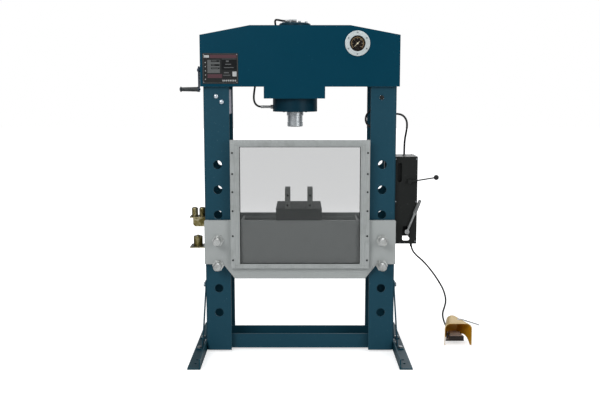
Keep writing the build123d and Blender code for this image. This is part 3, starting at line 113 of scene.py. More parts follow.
def bumped(tree, height, distance, strength, normal):
    """A node that tilts a normal by a height."""
    inputs = {"Height": height, "Distance": distance, "Strength": strength, "Normal": normal}
    return add(tree, "ShaderNodeBump", inputs)


# Camera, backdrop and lamps

camera_data = bpy.data.cameras.new("camera")
camera_data.lens = 50
camera_data.sensor_width = 36
camera = bpy.data.objects.new("camera", camera_data)
camera.location = (0, -5.0745, 1.584)
camera.rotation_euler = (math.radians(82.5), 0, 0)
scene.collection.objects.link(camera)
scene.camera = camera
scene.view_settings.view_transform = "Standard"

world = bpy.data.worlds.new("studio")
scene.world = world
world.use_nodes = True
world_tree = world.node_tree
world_tree.nodes.clear()
light_path = add(world_tree, "ShaderNodeLightPath").outputs
seen = maths(world_tree, "MAXIMUM", light_path["Is Camera Ray"], light_path["Is Transmission Ray"])
backdrop = blend(world_tree, seen, (0.36, 0.37, 0.38, 1), (1, 1, 1, 1))
background = add(world_tree, "ShaderNodeBackground", {"Color": backdrop})
add(world_tree, "ShaderNodeOutputWorld", {"Surface": background})


def lamp(name, place, target, size, power):
    """A large square lamp at a place, turned towards a target."""
    data = bpy.data.lights.new(name, "AREA")
    data.size = size
    data.energy = power
    thing = bpy.data.objects.new(name, data)
    thing.location = place
    thing.rotation_euler = (Vector(target) - Vector(place)).to_track_quat("-Z", "Y").to_euler()
    scene.collection.objects.link(thing)


lamp("key_lamp", (-2.6, -4.6, 3.9), (0, 0, 1.1), 2.6, 128)
lamp("fill_lamp", (3.6, -4.2, 2.6), (0, 0, 0.9), 2.6, 72)
lamp("top_lamp", (0.3, -0.2, 5.2), (0, 0, 0.6), 3.4, 66)
lamp("back_lamp", (1.6, 4.6, 3.4), (0, 0, 1.0), 2.4, 60)


# Node groups for the surfaces

skin_outputs = {"Colour": "Color", "Roughness": "Float", "Normal": "Vector"}


def shader_group(name, inputs, outputs=skin_outputs):
    """An empty shader group: its inputs as (name, kind, value), its outputs as names and kinds."""
    group = bpy.data.node_groups.new(name, "ShaderNodeTree")
    for label, kind, value in inputs:
        socket = group.interface.new_socket(name=label, in_out="INPUT", socket_type="NodeSocket" + kind)
        socket.default_value = value
    for label, kind in outputs.items():
        group.interface.new_socket(name=label, in_out="OUTPUT", socket_type="NodeSocket" + kind)
    start = group.nodes.new("NodeGroupInput")
    end = group.nodes.new("NodeGroupOutput")
    return group, start.outputs, end


def soft_edge(tree, radius):
    """The rounded normal near an edge, and a mask that is 1 on the edge itself."""
    bevel = add(tree, "ShaderNodeBevel", {"Radius": radius}, samples=6)
    flat = add(tree, "ShaderNodeNewGeometry")
    dot = vectors(tree, "DOT_PRODUCT", bevel, flat.outputs["Normal"])
    mask = ramp(tree, dot.outputs["Value"], (0.995, 0.90), (0.0, 1.0))
    return bevel, mask


def painted_group():
    """Sprayed paint: orange peel, slow shade changes, a few specks, and lighter edges as a painted
    highlight.
    """
    group, given, end = shader_group(
        "Painted skin",
        [
            ("Colour", "Color", (0.5, 0.5, 0.5, 1)),
            ("Edge Colour", "Color", (0.7, 0.7, 0.7, 1)),
            ("Roughness", "Float", 0.4),
            ("Shade Change", "Float", 0.12),
            ("Peel Scale", "Float", 420.0),
            ("Peel Depth", "Float", 0.12),
            ("Edge Width", "Float", 0.0018),
        ],
    )
    place = add(group, "ShaderNodeTexCoord").outputs["Object"]
    rounded, edge = soft_edge(group, given["Edge Width"])
    slow = noise(group, place, 2.3, 4.0, Roughness=0.55)
    centred = maths(group, "SUBTRACT", slow, 0.5)
    change = maths(group, "MULTIPLY", centred, given["Shade Change"])
    bright = maths(group, "ADD", change, 1.0)
    shade = scaled(group, given["Colour"], bright)
    speck = noise(group, place, 95.0, 3.0)
    speck_mask = ramp(group, speck, (0.69, 0.76), (0.0, 0.35))
    # Painted highlight: the edges take the lighter edge colour, broken up by noise; the specks are the
    # paint's own.
    highlight_breakup = noise(group, place, 34.0, 5.0)
    edge_highlight = maths(group, "MULTIPLY", highlight_breakup, edge)
    both = maths(group, "MAXIMUM", edge_highlight, speck_mask)
    mixed = blend(group, both, shade, given["Edge Colour"])
    rough_change = maths(group, "MULTIPLY", centred, 0.25)
    rough = maths(group, "ADD", rough_change, given["Roughness"])
    peel = noise(group, place, given["Peel Scale"], 1.0)
    bump = bumped(group, peel, 0.0006, given["Peel Depth"], rounded)
    fill(group, end, {"Colour": mixed, "Roughness": rough, "Normal": bump})
    return group


def metal_group():
    """Worked metal: grain drawn out along one axis, darker stains, and brighter edges as a painted
    highlight.
    """
    group, given, end = shader_group(
        "Worked metal",
        [
            ("Colour", "Color", (0.6, 0.6, 0.6, 1)),
            ("Stain Colour", "Color", (0.3, 0.3, 0.3, 1)),
            ("Roughness", "Float", 0.3),
            ("Stretch", "Vector", (900.0, 900.0, 25.0)),
            ("Grain Depth", "Float", 0.15),
            ("Edge Width", "Float", 0.001),
        ],
    )
    place = add(group, "ShaderNodeTexCoord").outputs["Object"]
    rounded, edge = soft_edge(group, given["Edge Width"])
    drawn = vectors(group, "MULTIPLY", place, given["Stretch"])
    grain = noise(group, drawn, 1.0, 3.0)
    stain = noise(group, place, 14.0, 5.0, Roughness=0.6)
    stain_mask = ramp(group, stain, (0.48, 0.72), (0.0, 0.8))
    dull = blend(group, stain_mask, given["Colour"], given["Stain Colour"])
    grain_shade = ramp(group, grain, (0.3, 0.7), (0.86, 1.12))
    shaded = scaled(group, dull, grain_shade)
    # Painted highlight: the edges are lifted to a brighter colour.
    lifted = scaled(group, shaded, 1.35)
    edged = blend(group, edge, shaded, lifted)
    rough_change = ramp(group, grain, (0.3, 0.7), (-0.06, 0.08))
    rough = maths(group, "ADD", rough_change, given["Roughness"])
    bump = bumped(group, grain, 0.0003, given["Grain Depth"], rounded)
    fill(group, end, {"Colour": edged, "Roughness": rough, "Normal": bump})
    return group


def moulded_group():
    """Moulded plastic or rubber: fine grain, faint dust, rounded edges, and edges lightened towards the dust
    colour as a painted highlight.
    """
    group, given, end = shader_group(
        "Moulded surface",
        [
            ("Colour", "Color", (0.05, 0.05, 0.05, 1)),
            ("Dust and Highlight Colour", "Color", (0.2, 0.2, 0.2, 1)),
            ("Roughness", "Float", 0.5),
            ("Grain Scale", "Float", 900.0),
            ("Grain Depth", "Float", 0.2),
        ],
    )
    place = add(group, "ShaderNodeTexCoord").outputs["Object"]
    rounded, edge = soft_edge(group, 0.0012)
    dust = noise(group, place, 22.0, 6.0, Roughness=0.65)
    dust_mask = ramp(group, dust, (0.46, 0.78), (0.0, 0.55))
    # Painted highlight: the edges take half of the dust colour; the noise clouds are dust.
    plastic_edge_highlight = maths(group, "MULTIPLY", edge, 0.5)
    both = maths(group, "MAXIMUM", dust_mask, plastic_edge_highlight)
    mixed = blend(group, both, given["Colour"], given["Dust and Highlight Colour"])
    rough_change = maths(group, "MULTIPLY", dust_mask, 0.25)
    rough = maths(group, "ADD", rough_change, given["Roughness"])
    grain = noise(group, place, given["Grain Scale"], 2.0)
    bump = bumped(group, grain, 0.0003, given["Grain Depth"], rounded)
    fill(group, end, {"Colour": mixed, "Roughness": rough, "Normal": bump})
    return group


def plated_group():
    """Yellow plating: clouds of a light, a middle and a dark colour over fine spangle, with the light colour
    on the edges as a painted highlight.
    """
    group, given, end = shader_group(
        "Yellow plating",
        [
            ("Light Colour", "Color", (0.8, 0.7, 0.5, 1)),
            ("Middle Colour", "Color", (0.5, 0.4, 0.2, 1)),
            ("Dark Colour", "Color", (0.15, 0.1, 0.05, 1)),
            ("Cloud Scale", "Float", 26.0),
        ],
    )
    place = add(group, "ShaderNodeTexCoord").outputs["Object"]
    rounded, edge = soft_edge(group, 0.0012)
    cloud = noise(group, place, given["Cloud Scale"], 5.0, Distortion=0.8)
    upper = ramp(group, cloud, (0.36, 0.54), (0.0, 1.0))
    lower = ramp(group, cloud, (0.54, 0.72), (0.0, 1.0))
    first = blend(group, upper, given["Light Colour"], given["Middle Colour"])
    second = blend(group, lower, first, given["Dark Colour"])
    # Painted highlight: the edges take the light colour.
    edged = blend(group, edge, second, given["Light Colour"])
    spangle = add(group, "ShaderNodeTexVoronoi", {"Scale": 260.0, "Vector": place})
    rough = ramp(group, spangle.outputs["Distance"], (0.0, 1.0), (0.24, 0.42))
    bump = bumped(group, spangle.outputs["Distance"], 0.0003, 0.12, rounded)
    fill(group, end, {"Colour": edged, "Roughness": rough, "Normal": bump})
    return group


painted = painted_group()
metal = metal_group()
moulded = moulded_group()
plated = plated_group()


def surface(name, group, values, **shader_values):
    """A material whose colour, roughness and normal come from a group, with colours as on screen."""
    material = bpy.data.materials.new(name)
    material.use_nodes = True
    tree = material.node_tree
    shader = tree.nodes["Principled BSDF"]
    inputs = {
        label: screen(*value) if label.endswith("Colour") else value for label, value in values.items()
    }
    skin = add(tree, "ShaderNodeGroup", inputs, node_tree=group).outputs
    sources = {"Base Color": skin["Colour"], "Roughness": skin["Roughness"], "Normal": skin["Normal"]}
    fill(tree, shader, sources)
    for label, value in shader_values.items():
        shader.inputs[label.replace("_", " ").title().replace("Ior", "IOR")].default_value = value
    return material


def paint(name, colour, edge, roughness=0.42, change=0.14, specular=0.15):
    """A sprayed paint of one colour, with lighter edges as a painted highlight."""
    values = {"Colour": colour, "Edge Colour": edge, "Roughness": roughness, "Shade Change": change}
    return surface(name, painted, values, specular_ior_level=specular)


def worked(name, colour, stain, roughness=0.3, stretch=(900, 900, 25), metallic=0.9):
    """A worked metal with grain along one axis."""
    values = {"Colour": colour, "Stain Colour": stain, "Roughness": roughness, "Stretch": stretch}
    return surface(name, metal, values, metallic=metallic)


def plastic(name, colour, dust, roughness=0.5, grain=900.0, specular=0.3):
    """A moulded plastic or rubber; its dust colour also gives the painted edge highlight."""
    values = {"Colour": colour, "Dust and Highlight Colour": dust, "Roughness": roughness, "Grain Scale": grain}
    return surface(name, moulded, values, specular_ior_level=specular)


def plating(name, light, middle, dark, scale, metallic):
    """A plated metal with clouds of three colours."""
    values = {"Light Colour": light, "Middle Colour": middle, "Dark Colour": dark, "Cloud Scale": scale}
    return surface(name, plated, values, metallic=metallic)


column_paint = paint("column_paint", (25, 67, 83), (92, 122, 132))
head_paint = paint("head_paint", (0, 57, 76), (34, 92, 108), 0.38, 0.08, 0.08)
# Painted shade: a darker copy of the head's teal paint for the cylinder under the head.
cylinder_shaded_paint = paint("cylinder_shaded_paint", (4, 44, 58), (28, 76, 92), 0.34, 0.08, 0.12)
# Painted shade: a darker copy of the teal paint for the feet.
foot_paint = paint("foot_paint", (18, 58, 70), (84, 124, 138))
table_paint = paint("table_paint", (166, 170, 169), (212, 216, 214), 0.5, 0.06)
pump_paint = paint("pump_paint", (30, 32, 31), (88, 90, 88), 0.45)
tank_paint = paint("tank_paint", (20, 22, 22), (54, 56, 56), 0.5)
plate_paint = paint("plate_paint", (34, 36, 36), (78, 82, 82))
pale_plate = paint("pale_plate", (176, 176, 190), (214, 214, 224), 0.35)
bolt_steel = worked("bolt_steel", (150, 156, 160), (92, 96, 98), 0.34)
bright_bolt = worked("bright_bolt", (212, 220, 228), (168, 176, 184), 0.26)
ram_steel = worked("ram_steel", (206, 211, 214), (172, 176, 178), 0.26, (25, 25, 900), 0.6)
fitting_steel = worked("fitting_steel", (170, 172, 172), (110, 112, 112), 0.3)
crank_steel = worked("crank_steel", (62, 74, 88), (36, 44, 54), 0.42)
pin_steel = worked("pin_steel", (206, 208, 206), (150, 150, 146), 0.28, (900, 25, 900))
arbor_steel = paint("arbor_steel", (76, 79, 78), (124, 126, 124), 0.5)
upright_steel = paint("upright_steel", (128, 131, 129), (160, 162, 160), 0.5)
guard_aluminium = worked("guard_aluminium", (170, 174, 173), (156, 160, 158), 0.42, (900, 900, 18), 0.35)
latch_steel = worked("latch_steel", (206, 208, 210), (160, 162, 164), 0.24, (900, 25, 900))
ring_metal = worked("ring_metal", (206, 214, 214), (184, 192, 192), 0.34, (300, 300, 300), 0.3)
black_plastic = plastic("black_plastic", (20, 20, 21), (58, 58, 58), 0.38)
grip_plastic = plastic("grip_plastic", (120, 122, 122), (160, 160, 158), 0.5)
crank_grip_plastic = plastic("crank_grip_plastic", (52, 56, 58), (96, 100, 100), 0.42)
rubber = plastic("rubber", (22, 23, 24), (64, 64, 62), 0.55, 1400.0)
cable_rubber = plastic("cable_rubber", (26, 27, 28), (70, 70, 68), 0.48, 1600.0)
treadle_plastic = plastic("treadle_plastic", (30, 24, 22), (64, 56, 52), 0.6)
dial_black = plastic("dial_black", (26, 20, 16), (34, 28, 22), 0.5, specular=0.1)
# The zinc's cream clouds are painted highlights and its dark brown clouds painted dark reflections; the
# olive gold between them is the plating's own colour.
zinc = plating("zinc", (206, 196, 160), (128, 116, 62), (52, 42, 18), 24.0, 0.75)
pedal_gold = plating("pedal_gold", (208, 180, 120), (198, 166, 100), (184, 150, 84), 15.0, 0.1)


def facing_group():
    """A mask that is 1 where a surface faces a point, such as the inside of a hood."""
    group, given, end = shader_group("Facing a point", [("Point", "Vector", (0, 0, 0))], {"Mask": "Float"})
    place = add(group, "ShaderNodeTexCoord").outputs["Object"]
    inward = vectors(group, "SUBTRACT", given["Point"], place)
    straight = vectors(group, "NORMALIZE", inward)
    flat = add(group, "ShaderNodeNewGeometry")
    dot = vectors(group, "DOT_PRODUCT", straight, flat.outputs["True Normal"])
    mask = ramp(group, dot.outputs["Value"], (0.02, 0.12), (0.0, 1.0))
    fill(group, end, {"Mask": mask})
    return group


facing_point = facing_group()


def cover_colour(material, mask, colour):
    """Lays a colour over a material where a mask is 1."""
    tree = material.node_tree
    shader = tree.nodes["Principled BSDF"]
    source = shader.inputs["Base Color"].links[0].from_socket
    fill(tree, shader, {"Base Color": blend(tree, mask, source, screen(*colour))})


def facing_painted_light(material, colour, point):
    """Paints light or shade, as another colour, onto the faces of a material that look towards a point."""
    mask = add(material.node_tree, "ShaderNodeGroup", {"Point": point}, node_tree=facing_point)
    cover_colour(material, mask, colour)


# Painted shade inside the pedal hood: its faces that look in towards the pedal's middle take a deeper
# yellow.
facing_painted_light(pedal_gold, (208, 150, 28), (0.985, 0.06, 0.04))
# Painted highlight on the treadle and base: their faces turned up towards a point above take a light grey.
facing_painted_light(treadle_plastic, (176, 166, 160), (0.985, 0.06, 1.5))

# Painted dark reflection: the zinc plating is darker where it turns away from the eye.
turn = add(zinc.node_tree, "ShaderNodeLayerWeight", {"Blend": 0.56})
cover_colour(zinc, turn.outputs["Facing"], (30, 24, 8))


def clear(name, colour, alpha, roughness):
    """A clear pane with faint streaks, which throws a shadow lighter than the pane itself."""
    values = {"Colour": colour, "Dust and Highlight Colour": colour, "Roughness": roughness}
    material = surface(name, moulded, {**values, "Grain Scale": 6.0, "Grain Depth": 0.02})
    tree = material.node_tree
    path = add(tree, "ShaderNodeLightPath")
    lighter_by = (alpha - 0.1) if alpha > 0.1 else alpha
    lighter = maths(tree, "MULTIPLY", path.outputs["Is Shadow Ray"], lighter_by)
    fill(tree, tree.nodes["Principled BSDF"], {"Alpha": maths(tree, "SUBTRACT", alpha, lighter)})
    return material


guard_clear = clear("guard_clear", (54, 56, 56), 0.33, 0.2)
gauge_clear = clear("gauge_clear", (60, 62, 62), 0.03, 0.1)


def plain(name, colour, roughness=0.5):
    """A printed or small painted mark with a faint change of shade."""
    return paint(name, colour, colour, roughness, 0.06)


print_white = plain("print_white", (176, 178, 178))
print_grey = plain("print_grey", (92, 94, 94))
print_black = plain("print_black", (14, 16, 18))
print_red = plain("print_red", (82, 56, 62))
print_tan = plain("print_tan", (176, 146, 104))
print_cream = plain("print_cream", (226, 214, 184))
weld_metal = worked("weld_metal", (50, 88, 104), (34, 66, 82), 0.4, (200, 200, 200), 0.1)


def wear(material, *names):
    """Puts a material on every slot of these nodes."""
    for name in names:
        for place in nodes[name].material_slots:
            place.link = "OBJECT"
            place.material = material


wear(column_paint, "column_left", "column_right", "lower_beam", "foot_braces")
wear(foot_paint, "foot_left", "foot_right")
wear(head_paint, "head_plate_front", "head_plate_rear", "cylinder_mount", "winch_housing")
wear(cylinder_shaded_paint, "cylinder_body", "cylinder_cap", "cylinder_gland")
wear(bolt_steel, "foot_bolts", "pedal_hinge_pin", "pedal_spring")
wear(bright_bolt, "column_bolts")
wear(ram_steel, "ram_rod", "ram_piston", "ram_nose")
wear(fitting_steel, "hose_fittings", "hydraulic_pipes", "pump_lever")
wear(ring_metal, "gauge_case")
wear(dial_black, "gauge_dial")
wear(print_cream, "gauge_needle")
wear(gauge_clear, "gauge_glass")
wear(crank_steel, "winch_crank")
wear(plate_paint, "junction_box")
wear(pale_plate, "winch_side_plate")
wear(black_plastic, "valve_knob", "cable_glands")
wear(crank_grip_plastic, "crank_grip")
wear(grip_plastic, "pump_grip")
wear(zinc, "upper_zinc_bracket", "lower_zinc_bracket", "zinc_drum")
wear(table_paint, "table_plate_front", "table_plate_rear", "table_webs")
wear(pin_steel, "pin_upper_left", "pin_upper_right", "pin_lower_left", "pin_lower_right")
wear(arbor_steel, "arbor_plate")
wear(upright_steel, "arbor_uprights")
wear(guard_aluminium, "guard_rails", "guard_sash")
wear(guard_clear, "guard_pane")
wear(pump_paint, "pump_cover", "valve_lever")
wear(tank_paint, "pump_unit")
wear(pedal_gold, "pedal_hood")
wear(treadle_plastic, "pedal_treadle", "pedal_base")
wear(latch_steel, "pedal_latch")


# Makers of meshes

def mesh_piece(name, points, faces, material, body="root", smooth=False):
    """A closed mesh piece that rides on a body."""
    mesh = bpy.data.meshes.new(name)
    mesh.from_pydata([tuple(point) for point in points], [], faces)
    mesh.materials.append(material)
    for face in mesh.polygons:
        face.use_smooth = smooth
    mesh.validate()
    thing = bpy.data.objects.new(name, mesh)
    scene.collection.objects.link(thing)
    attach(thing, body)
    return thing


block_faces = [(0, 2, 3, 1), (4, 5, 7, 6), (0, 1, 5, 4), (2, 6, 7, 3), (0, 4, 6, 2), (1, 3, 7, 5)]


def blocks(name, ranges, material, body="root"):
    """Separate blocks in one mesh, each given by its ranges along X, Y and Z."""
    points = []
    faces = []
    for spans in ranges:
        x_range, y_range, z_range = (sorted(span) for span in spans)
        faces += [tuple(len(points) + corner for corner in face) for face in block_faces]
        points += [(x, y, z) for z in z_range for y in y_range for x in x_range]
    return mesh_piece(name, points, faces, material, body)


def spokes_round(along, count):
    """An axis of length 1, and the unit vectors at even angles round it."""
    axis = Vector(along).normalized()
    side = axis.orthogonal().normalized()
    other = axis.cross(side)
    angles = [2 * math.pi * step / count for step in range(count)]
    return axis, [side * math.cos(angle) + other * math.sin(angle) for angle in angles]


def rings(name, places, along, profile, material, body="root", segments=32):
    """A closed profile turned about an axis at several places, given as (distance, radius) pairs.
    The profile runs round the section, and its inside lies to the right of it."""
    axis, spokes = spokes_round(along, segments)
    points = []
    faces = []
    count = len(profile)
    for place in places:
        first = len(points)
        for step in range(segments):
            for distance, radius in profile:
                points.append(Vector(place) + axis * distance + spokes[step] * radius)
            here = first + step * count
            there = first + (step + 1) % segments * count
            for index in range(count):
                following = (index + 1) % count
                faces.append((here + index, there + index, there + following, here + following))
    return mesh_piece(name, points, faces, material, body, smooth=True)


def sleeve_profile(inner, outer_line):
    """The section of a sleeve: its outside line from start to end, closed along its inner radius."""
    return [*outer_line, (outer_line[-1][0], inner), (outer_line[0][0], inner)]


# Trees that place and shape what repeats

def geometry_tree(name, inputs):
    """A geometry tree with a mesh, named inputs and a material coming in, and one geometry output."""
    tree = bpy.data.node_groups.new(name, "GeometryNodeTree")
    tree.interface.new_socket(name="Geometry", in_out="INPUT", socket_type="NodeSocketGeometry")
    for label, kind in {**inputs, "Material": "Material"}.items():
        tree.interface.new_socket(name=label, in_out="INPUT", socket_type="NodeSocket" + kind)
    tree.interface.new_socket(name="Geometry", in_out="OUTPUT", socket_type="NodeSocketGeometry")
    start = tree.nodes.new("NodeGroupInput")
    end = tree.nodes.new("NodeGroupOutput")
    return tree, start.outputs, end


def close_tree(tree, end, shape, material):
    """Realizes the copies, gives them their material and ends the tree."""
    real = add(tree, "GeometryNodeRealizeInstances", {0: shape})
    dressed = add(tree, "GeometryNodeSetMaterial", {"Geometry": real, "Material": material})
    fill(tree, end, {0: dressed})
    return tree


def copies_on(tree, points, shape, **others):
    """A node that puts a copy of a shape on each point."""
    return add(tree, "GeometryNodeInstanceOnPoints", {"Points": points, "Instance": shape, **others})


def facing_rotation(tree):
    """The turn that points Z along each point's own facing."""
    facing = add(tree, "GeometryNodeInputNamedAttribute", {"Name": "facing"}, data_type="FLOAT_VECTOR")
    return add(tree, "FunctionNodeAlignRotationToVector", {"Vector": facing.outputs["Attribute"]}, axis="Z")


def screw_tree():
    """Screw heads with a sunk socket, one on each point, standing along the point's facing."""
    inputs = {
        "Sides": "Int",
        "Radius": "Float",
        "Height": "Float",
        "Socket Share": "Float",
        "Socket Depth": "Float",
    }
    tree, given, end = geometry_tree("Screw heads", inputs)
    head = add(
        tree,
        "GeometryNodeMeshCylinder",
        {"Vertices": given["Sides"], "Radius": given["Radius"], "Depth": given["Height"]},
    )
    rim = add(
        tree,
        "GeometryNodeExtrudeMesh",
        {
            "Individual": False,
            "Offset Scale": 0.0,
            "Mesh": head.outputs["Mesh"],
            "Selection": head.outputs["Top"],
        },
    )
    inner = add(
        tree,
        "GeometryNodeScaleElements",
        {"Geometry": rim.outputs["Mesh"], "Selection": rim.outputs["Top"], "Scale": given["Socket Share"]},
    )
    down = maths(tree, "MULTIPLY", given["Socket Depth"], -1.0)
    sunk = add(
        tree,
        "GeometryNodeExtrudeMesh",
        {"Individual": False, "Mesh": inner, "Selection": rim.outputs["Top"], "Offset Scale": down},
    )
    half = maths(tree, "MULTIPLY", given["Height"], 0.5)
    lift = add(tree, "ShaderNodeCombineXYZ", {"Z": half})
    raised = add(tree, "GeometryNodeTransform", {"Geometry": sunk.outputs["Mesh"], "Translation": lift})
    copies = copies_on(tree, given["Geometry"], raised, Rotation=facing_rotation(tree))
    return close_tree(tree, end, copies, given["Material"])


def weld_tree():
    """Weld beads along the edges of the mesh: overlapping flattened drops at a pitch."""
    inputs = {"Pitch": "Float", "Size": "Float", "Seed": "Int"}
    tree, given, end = geometry_tree("Weld bead", inputs)
    line = add(tree, "GeometryNodeMeshToCurve", {"Mesh": given["Geometry"]})
    points = add(tree, "GeometryNodeCurveToPoints", {"Curve": line, "Length": given["Pitch"]}, mode="LENGTH")
    drop = add(tree, "GeometryNodeMeshIcoSphere", {"Subdivisions": 2, "Radius": given["Size"]})
    low = scaled(tree, (1, 1, 1), 0.85)
    high = scaled(tree, (1, 1, 1), 1.12)
    size = add(
        tree,
        "FunctionNodeRandomValue",
        {"Min": low, "Max": high, "Seed": given["Seed"]},
        data_type="FLOAT_VECTOR",
    )
    flat = vectors(tree, "MULTIPLY", size, (1.0, 1.0, 0.62))
    copies = copies_on(
        tree, points.outputs["Points"], drop.outputs["Mesh"], Rotation=points.outputs["Rotation"], Scale=flat
    )
    smooth = add(tree, "GeometryNodeSetShadeSmooth", {0: copies})
    return close_tree(tree, end, smooth, given["Material"])


def dial_tree():
    """Marks round a dial that faces -Y: small blocks at even angles about the mesh's one point."""
    inputs = {"Count": "Int", "First Angle": "Float", "Step": "Float", "Radius": "Float", "Mark": "Vector"}
    tree, given, end = geometry_tree("Dial marks", inputs)
    line = add(tree, "GeometryNodeMeshLine", {"Offset": (0, 0, 0), "Count": given["Count"]})
    index = add(tree, "GeometryNodeInputIndex")
    along = maths(tree, "MULTIPLY", index, given["Step"])
    angle = maths(tree, "ADD", along, given["First Angle"])
    cosine = maths(tree, "COSINE", angle)
    sine = maths(tree, "SINE", angle)
    direction = add(tree, "ShaderNodeCombineXYZ", {"X": cosine, "Z": sine})
    offset = scaled(tree, direction, given["Radius"])
    spread = add(tree, "GeometryNodeSetPosition", {"Geometry": line, "Offset": offset})
    mark = add(tree, "GeometryNodeMeshCube", {"Size": given["Mark"]})
    back = maths(tree, "MULTIPLY", angle, -1.0)
    turn = add(tree, "ShaderNodeCombineXYZ", {"Y": back})
    rotation = add(tree, "FunctionNodeEulerToRotation", {0: turn})
    marks = copies_on(tree, spread, mark.outputs["Mesh"], Rotation=rotation)
    placed = copies_on(tree, given["Geometry"], marks)
    return close_tree(tree, end, placed, given["Material"])


def rib_tree():
    """Rings in a row that shrink along it, standing on each point along its facing."""
    inputs = {"Count": "Int", "Pitch": "Float", "Radius": "Float", "Shrink": "Float", "Thickness": "Float"}
    tree, given, end = geometry_tree("Ribs in a row", inputs)
    step = add(tree, "ShaderNodeCombineXYZ", {"Z": given["Pitch"]})
    line = add(tree, "GeometryNodeMeshLine", {"Count": given["Count"], "Offset": step})
    ring = add(tree, "GeometryNodeCurvePrimitiveCircle", {"Resolution": 32, "Radius": given["Radius"]})
    wire = add(tree, "GeometryNodeCurvePrimitiveCircle", {"Resolution": 8, "Radius": given["Thickness"]})
    solid = add(tree, "GeometryNodeCurveToMesh", {"Curve": ring, "Profile Curve": wire})
    index = add(tree, "GeometryNodeInputIndex")
    less = maths(tree, "MULTIPLY", index, given["Shrink"])
    scale = maths(tree, "SUBTRACT", 1.0, less)
    size = add(tree, "ShaderNodeCombineXYZ", {"Z": 1.0, "X": scale, "Y": scale})
    row = copies_on(tree, line, solid, Scale=size)
    placed = copies_on(tree, given["Geometry"], row, Rotation=facing_rotation(tree))
    return close_tree(tree, end, placed, given["Material"])


screw_heads = screw_tree()
weld_beads = weld_tree()
dial_marks = dial_tree()
rib_rows = rib_tree()


def grow(name, tree, points, values, body="root", facing=(0, 0, 1), edges=()):
    """Runs a tree once on some points and keeps the outcome as a plain mesh piece."""
    mesh = bpy.data.meshes.new(name + "_start")
    mesh.from_pydata([tuple(point) for point in points], list(edges), [])
    directions = mesh.attributes.new("facing", "FLOAT_VECTOR", "POINT")
    for item in directions.data:
        item.vector = facing
    thing = bpy.data.objects.new(name, mesh)
    scene.collection.objects.link(thing)
    modifier = thing.modifiers.new("grow", "NODES")
    modifier.node_group = tree
    sockets = {item.name: item.identifier for item in tree.interface.items_tree if item.in_out == "INPUT"}
    for label, value in values.items():
        modifier[sockets[label]] = value
    thing.update_tag()
    bpy.context.view_layer.update()
    evaluated = thing.evaluated_get(bpy.context.evaluated_depsgraph_get())
    plain_mesh = bpy.data.meshes.new_from_object(evaluated)
    thing.modifiers.clear()
    thing.data = plain_mesh
    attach(thing, body)
    return thing


def screws(name, points, facing, radius, height, material, body="root", sides=24, socket=0.5):
    """Screw heads of one size on several points."""
    values = {
        "Sides": sides,
        "Radius": radius,
        "Height": height,
        "Socket Share": socket,
        "Socket Depth": height * 0.55,
        "Material": material,
    }
    return grow(name, screw_heads, points, values, body, facing)


def weld(name, lines, size=0.0035, seed=1, material=weld_metal, body="root"):
    """Weld beads along straight lines, each given by its two ends."""
    points = [end for line in lines for end in line]
    edges = [(2 * index, 2 * index + 1) for index in range(len(lines))]
    values = {"Pitch": size * 1.3, "Size": size, "Seed": seed, "Material": material}
    return grow(name, weld_beads, points, values, body, edges=edges)


# Hoses and cable

def cord_curve(name, route, radius, material):
    """A round cord along a smooth curve through the given route, in millimetres."""
    data = bpy.data.curves.new(name, "CURVE")
    data.dimensions = "3D"
    data.bevel_depth = radius
    data.bevel_resolution = 6
    data.resolution_u = 10
    data.use_fill_caps = True
    spline = data.splines.new("NURBS")
    spline.points.add(len(route) - 1)
    for point, (x, y, z) in zip(spline.points, route):
        point.co = (x / 1000, y / 1000, z / 1000, 1)
    spline.order_u = 3
    spline.use_endpoint_u = True
    data.materials.append(material)
    thing = bpy.data.objects.new(name, data)
    scene.collection.objects.link(thing)
    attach(thing, "root")
    return thing


top_hose_route = [
    (-66, 0, 1994), (-100, 0, 1994), (-130, 14, 2002), (-148, 42, 2005),
    (-152, 77, 1994), (-147, 106, 1966), (-141, 118.5, 1928), (-141, 118.5, 1890),
]
low_hose_route = [
    (-218, 0, 1485), (-240, 0, 1485), (-260, 0, 1492), (-274, 1, 1508),
    (-280, 3, 1532), (-279, 11, 1562), (-275, 30, 1596), (-271, 60, 1634),
    (-270, 90, 1668), (-270, 118.5, 1709), (-270, 118.5, 1750),
]
pump_hose_route = [
    (455, 118.5, 1560), (455, 118.5, 1520), (448, 103, 1484), (430, 74, 1460),
    (408, 36, 1440), (396, -2, 1414), (400, -34, 1385), (424, -50, 1364),
    (458, -46, 1358), (490, -32, 1373), (514, -14, 1399), (536, -3, 1426),
    (561, 0, 1441), (591, 0, 1443), (618, 0, 1437), (638, 0, 1420),
    (649, 0, 1395), (650, 0, 1364), (645, 0, 1330), (637, 0, 1286),
    (635, 0, 1234), (635, 0, 1172),
]
cable_route = [
    (684, -10, 666), (684, -10, 626), (712, 20, 576), (776, 84, 518),
    (841, 150, 440), (896, 210, 362), (946, 286, 280), (973, 336, 198),
    (967, 376, 134), (960, 396, 92), (966, 396, 54), (976, 379, 24),
    (985, 349, 6.2), (988, 312, 6.2), (986, 275, 14.5), (983.5, 237, 26),
    (983.5, 199, 26),
]


def crimped_line(grooves, shoulder):
    """The outside of a crimped sleeve: its grooves' starts, and where it narrows at the end."""
    line = [(0.0, 0.0086)]
    for start in grooves:
        line += [(start, 0.0086), (start + 0.0015, 0.0079), (start + 0.003, 0.0086)]
    return [*line, (shoulder, 0.0086), (shoulder + 0.0015, 0.0074)]


crimped = crimped_line((0.003, 0.0075, 0.012, 0.0165), 0.0215)
short_crimped = crimped_line((0.003, 0.009), 0.017)


def ferrule(name, start, along, line=crimped):
    """The crimped metal sleeve on a hose end."""
    return rings(name, [start], along, sleeve_profile(0.0057, line), fitting_steel)


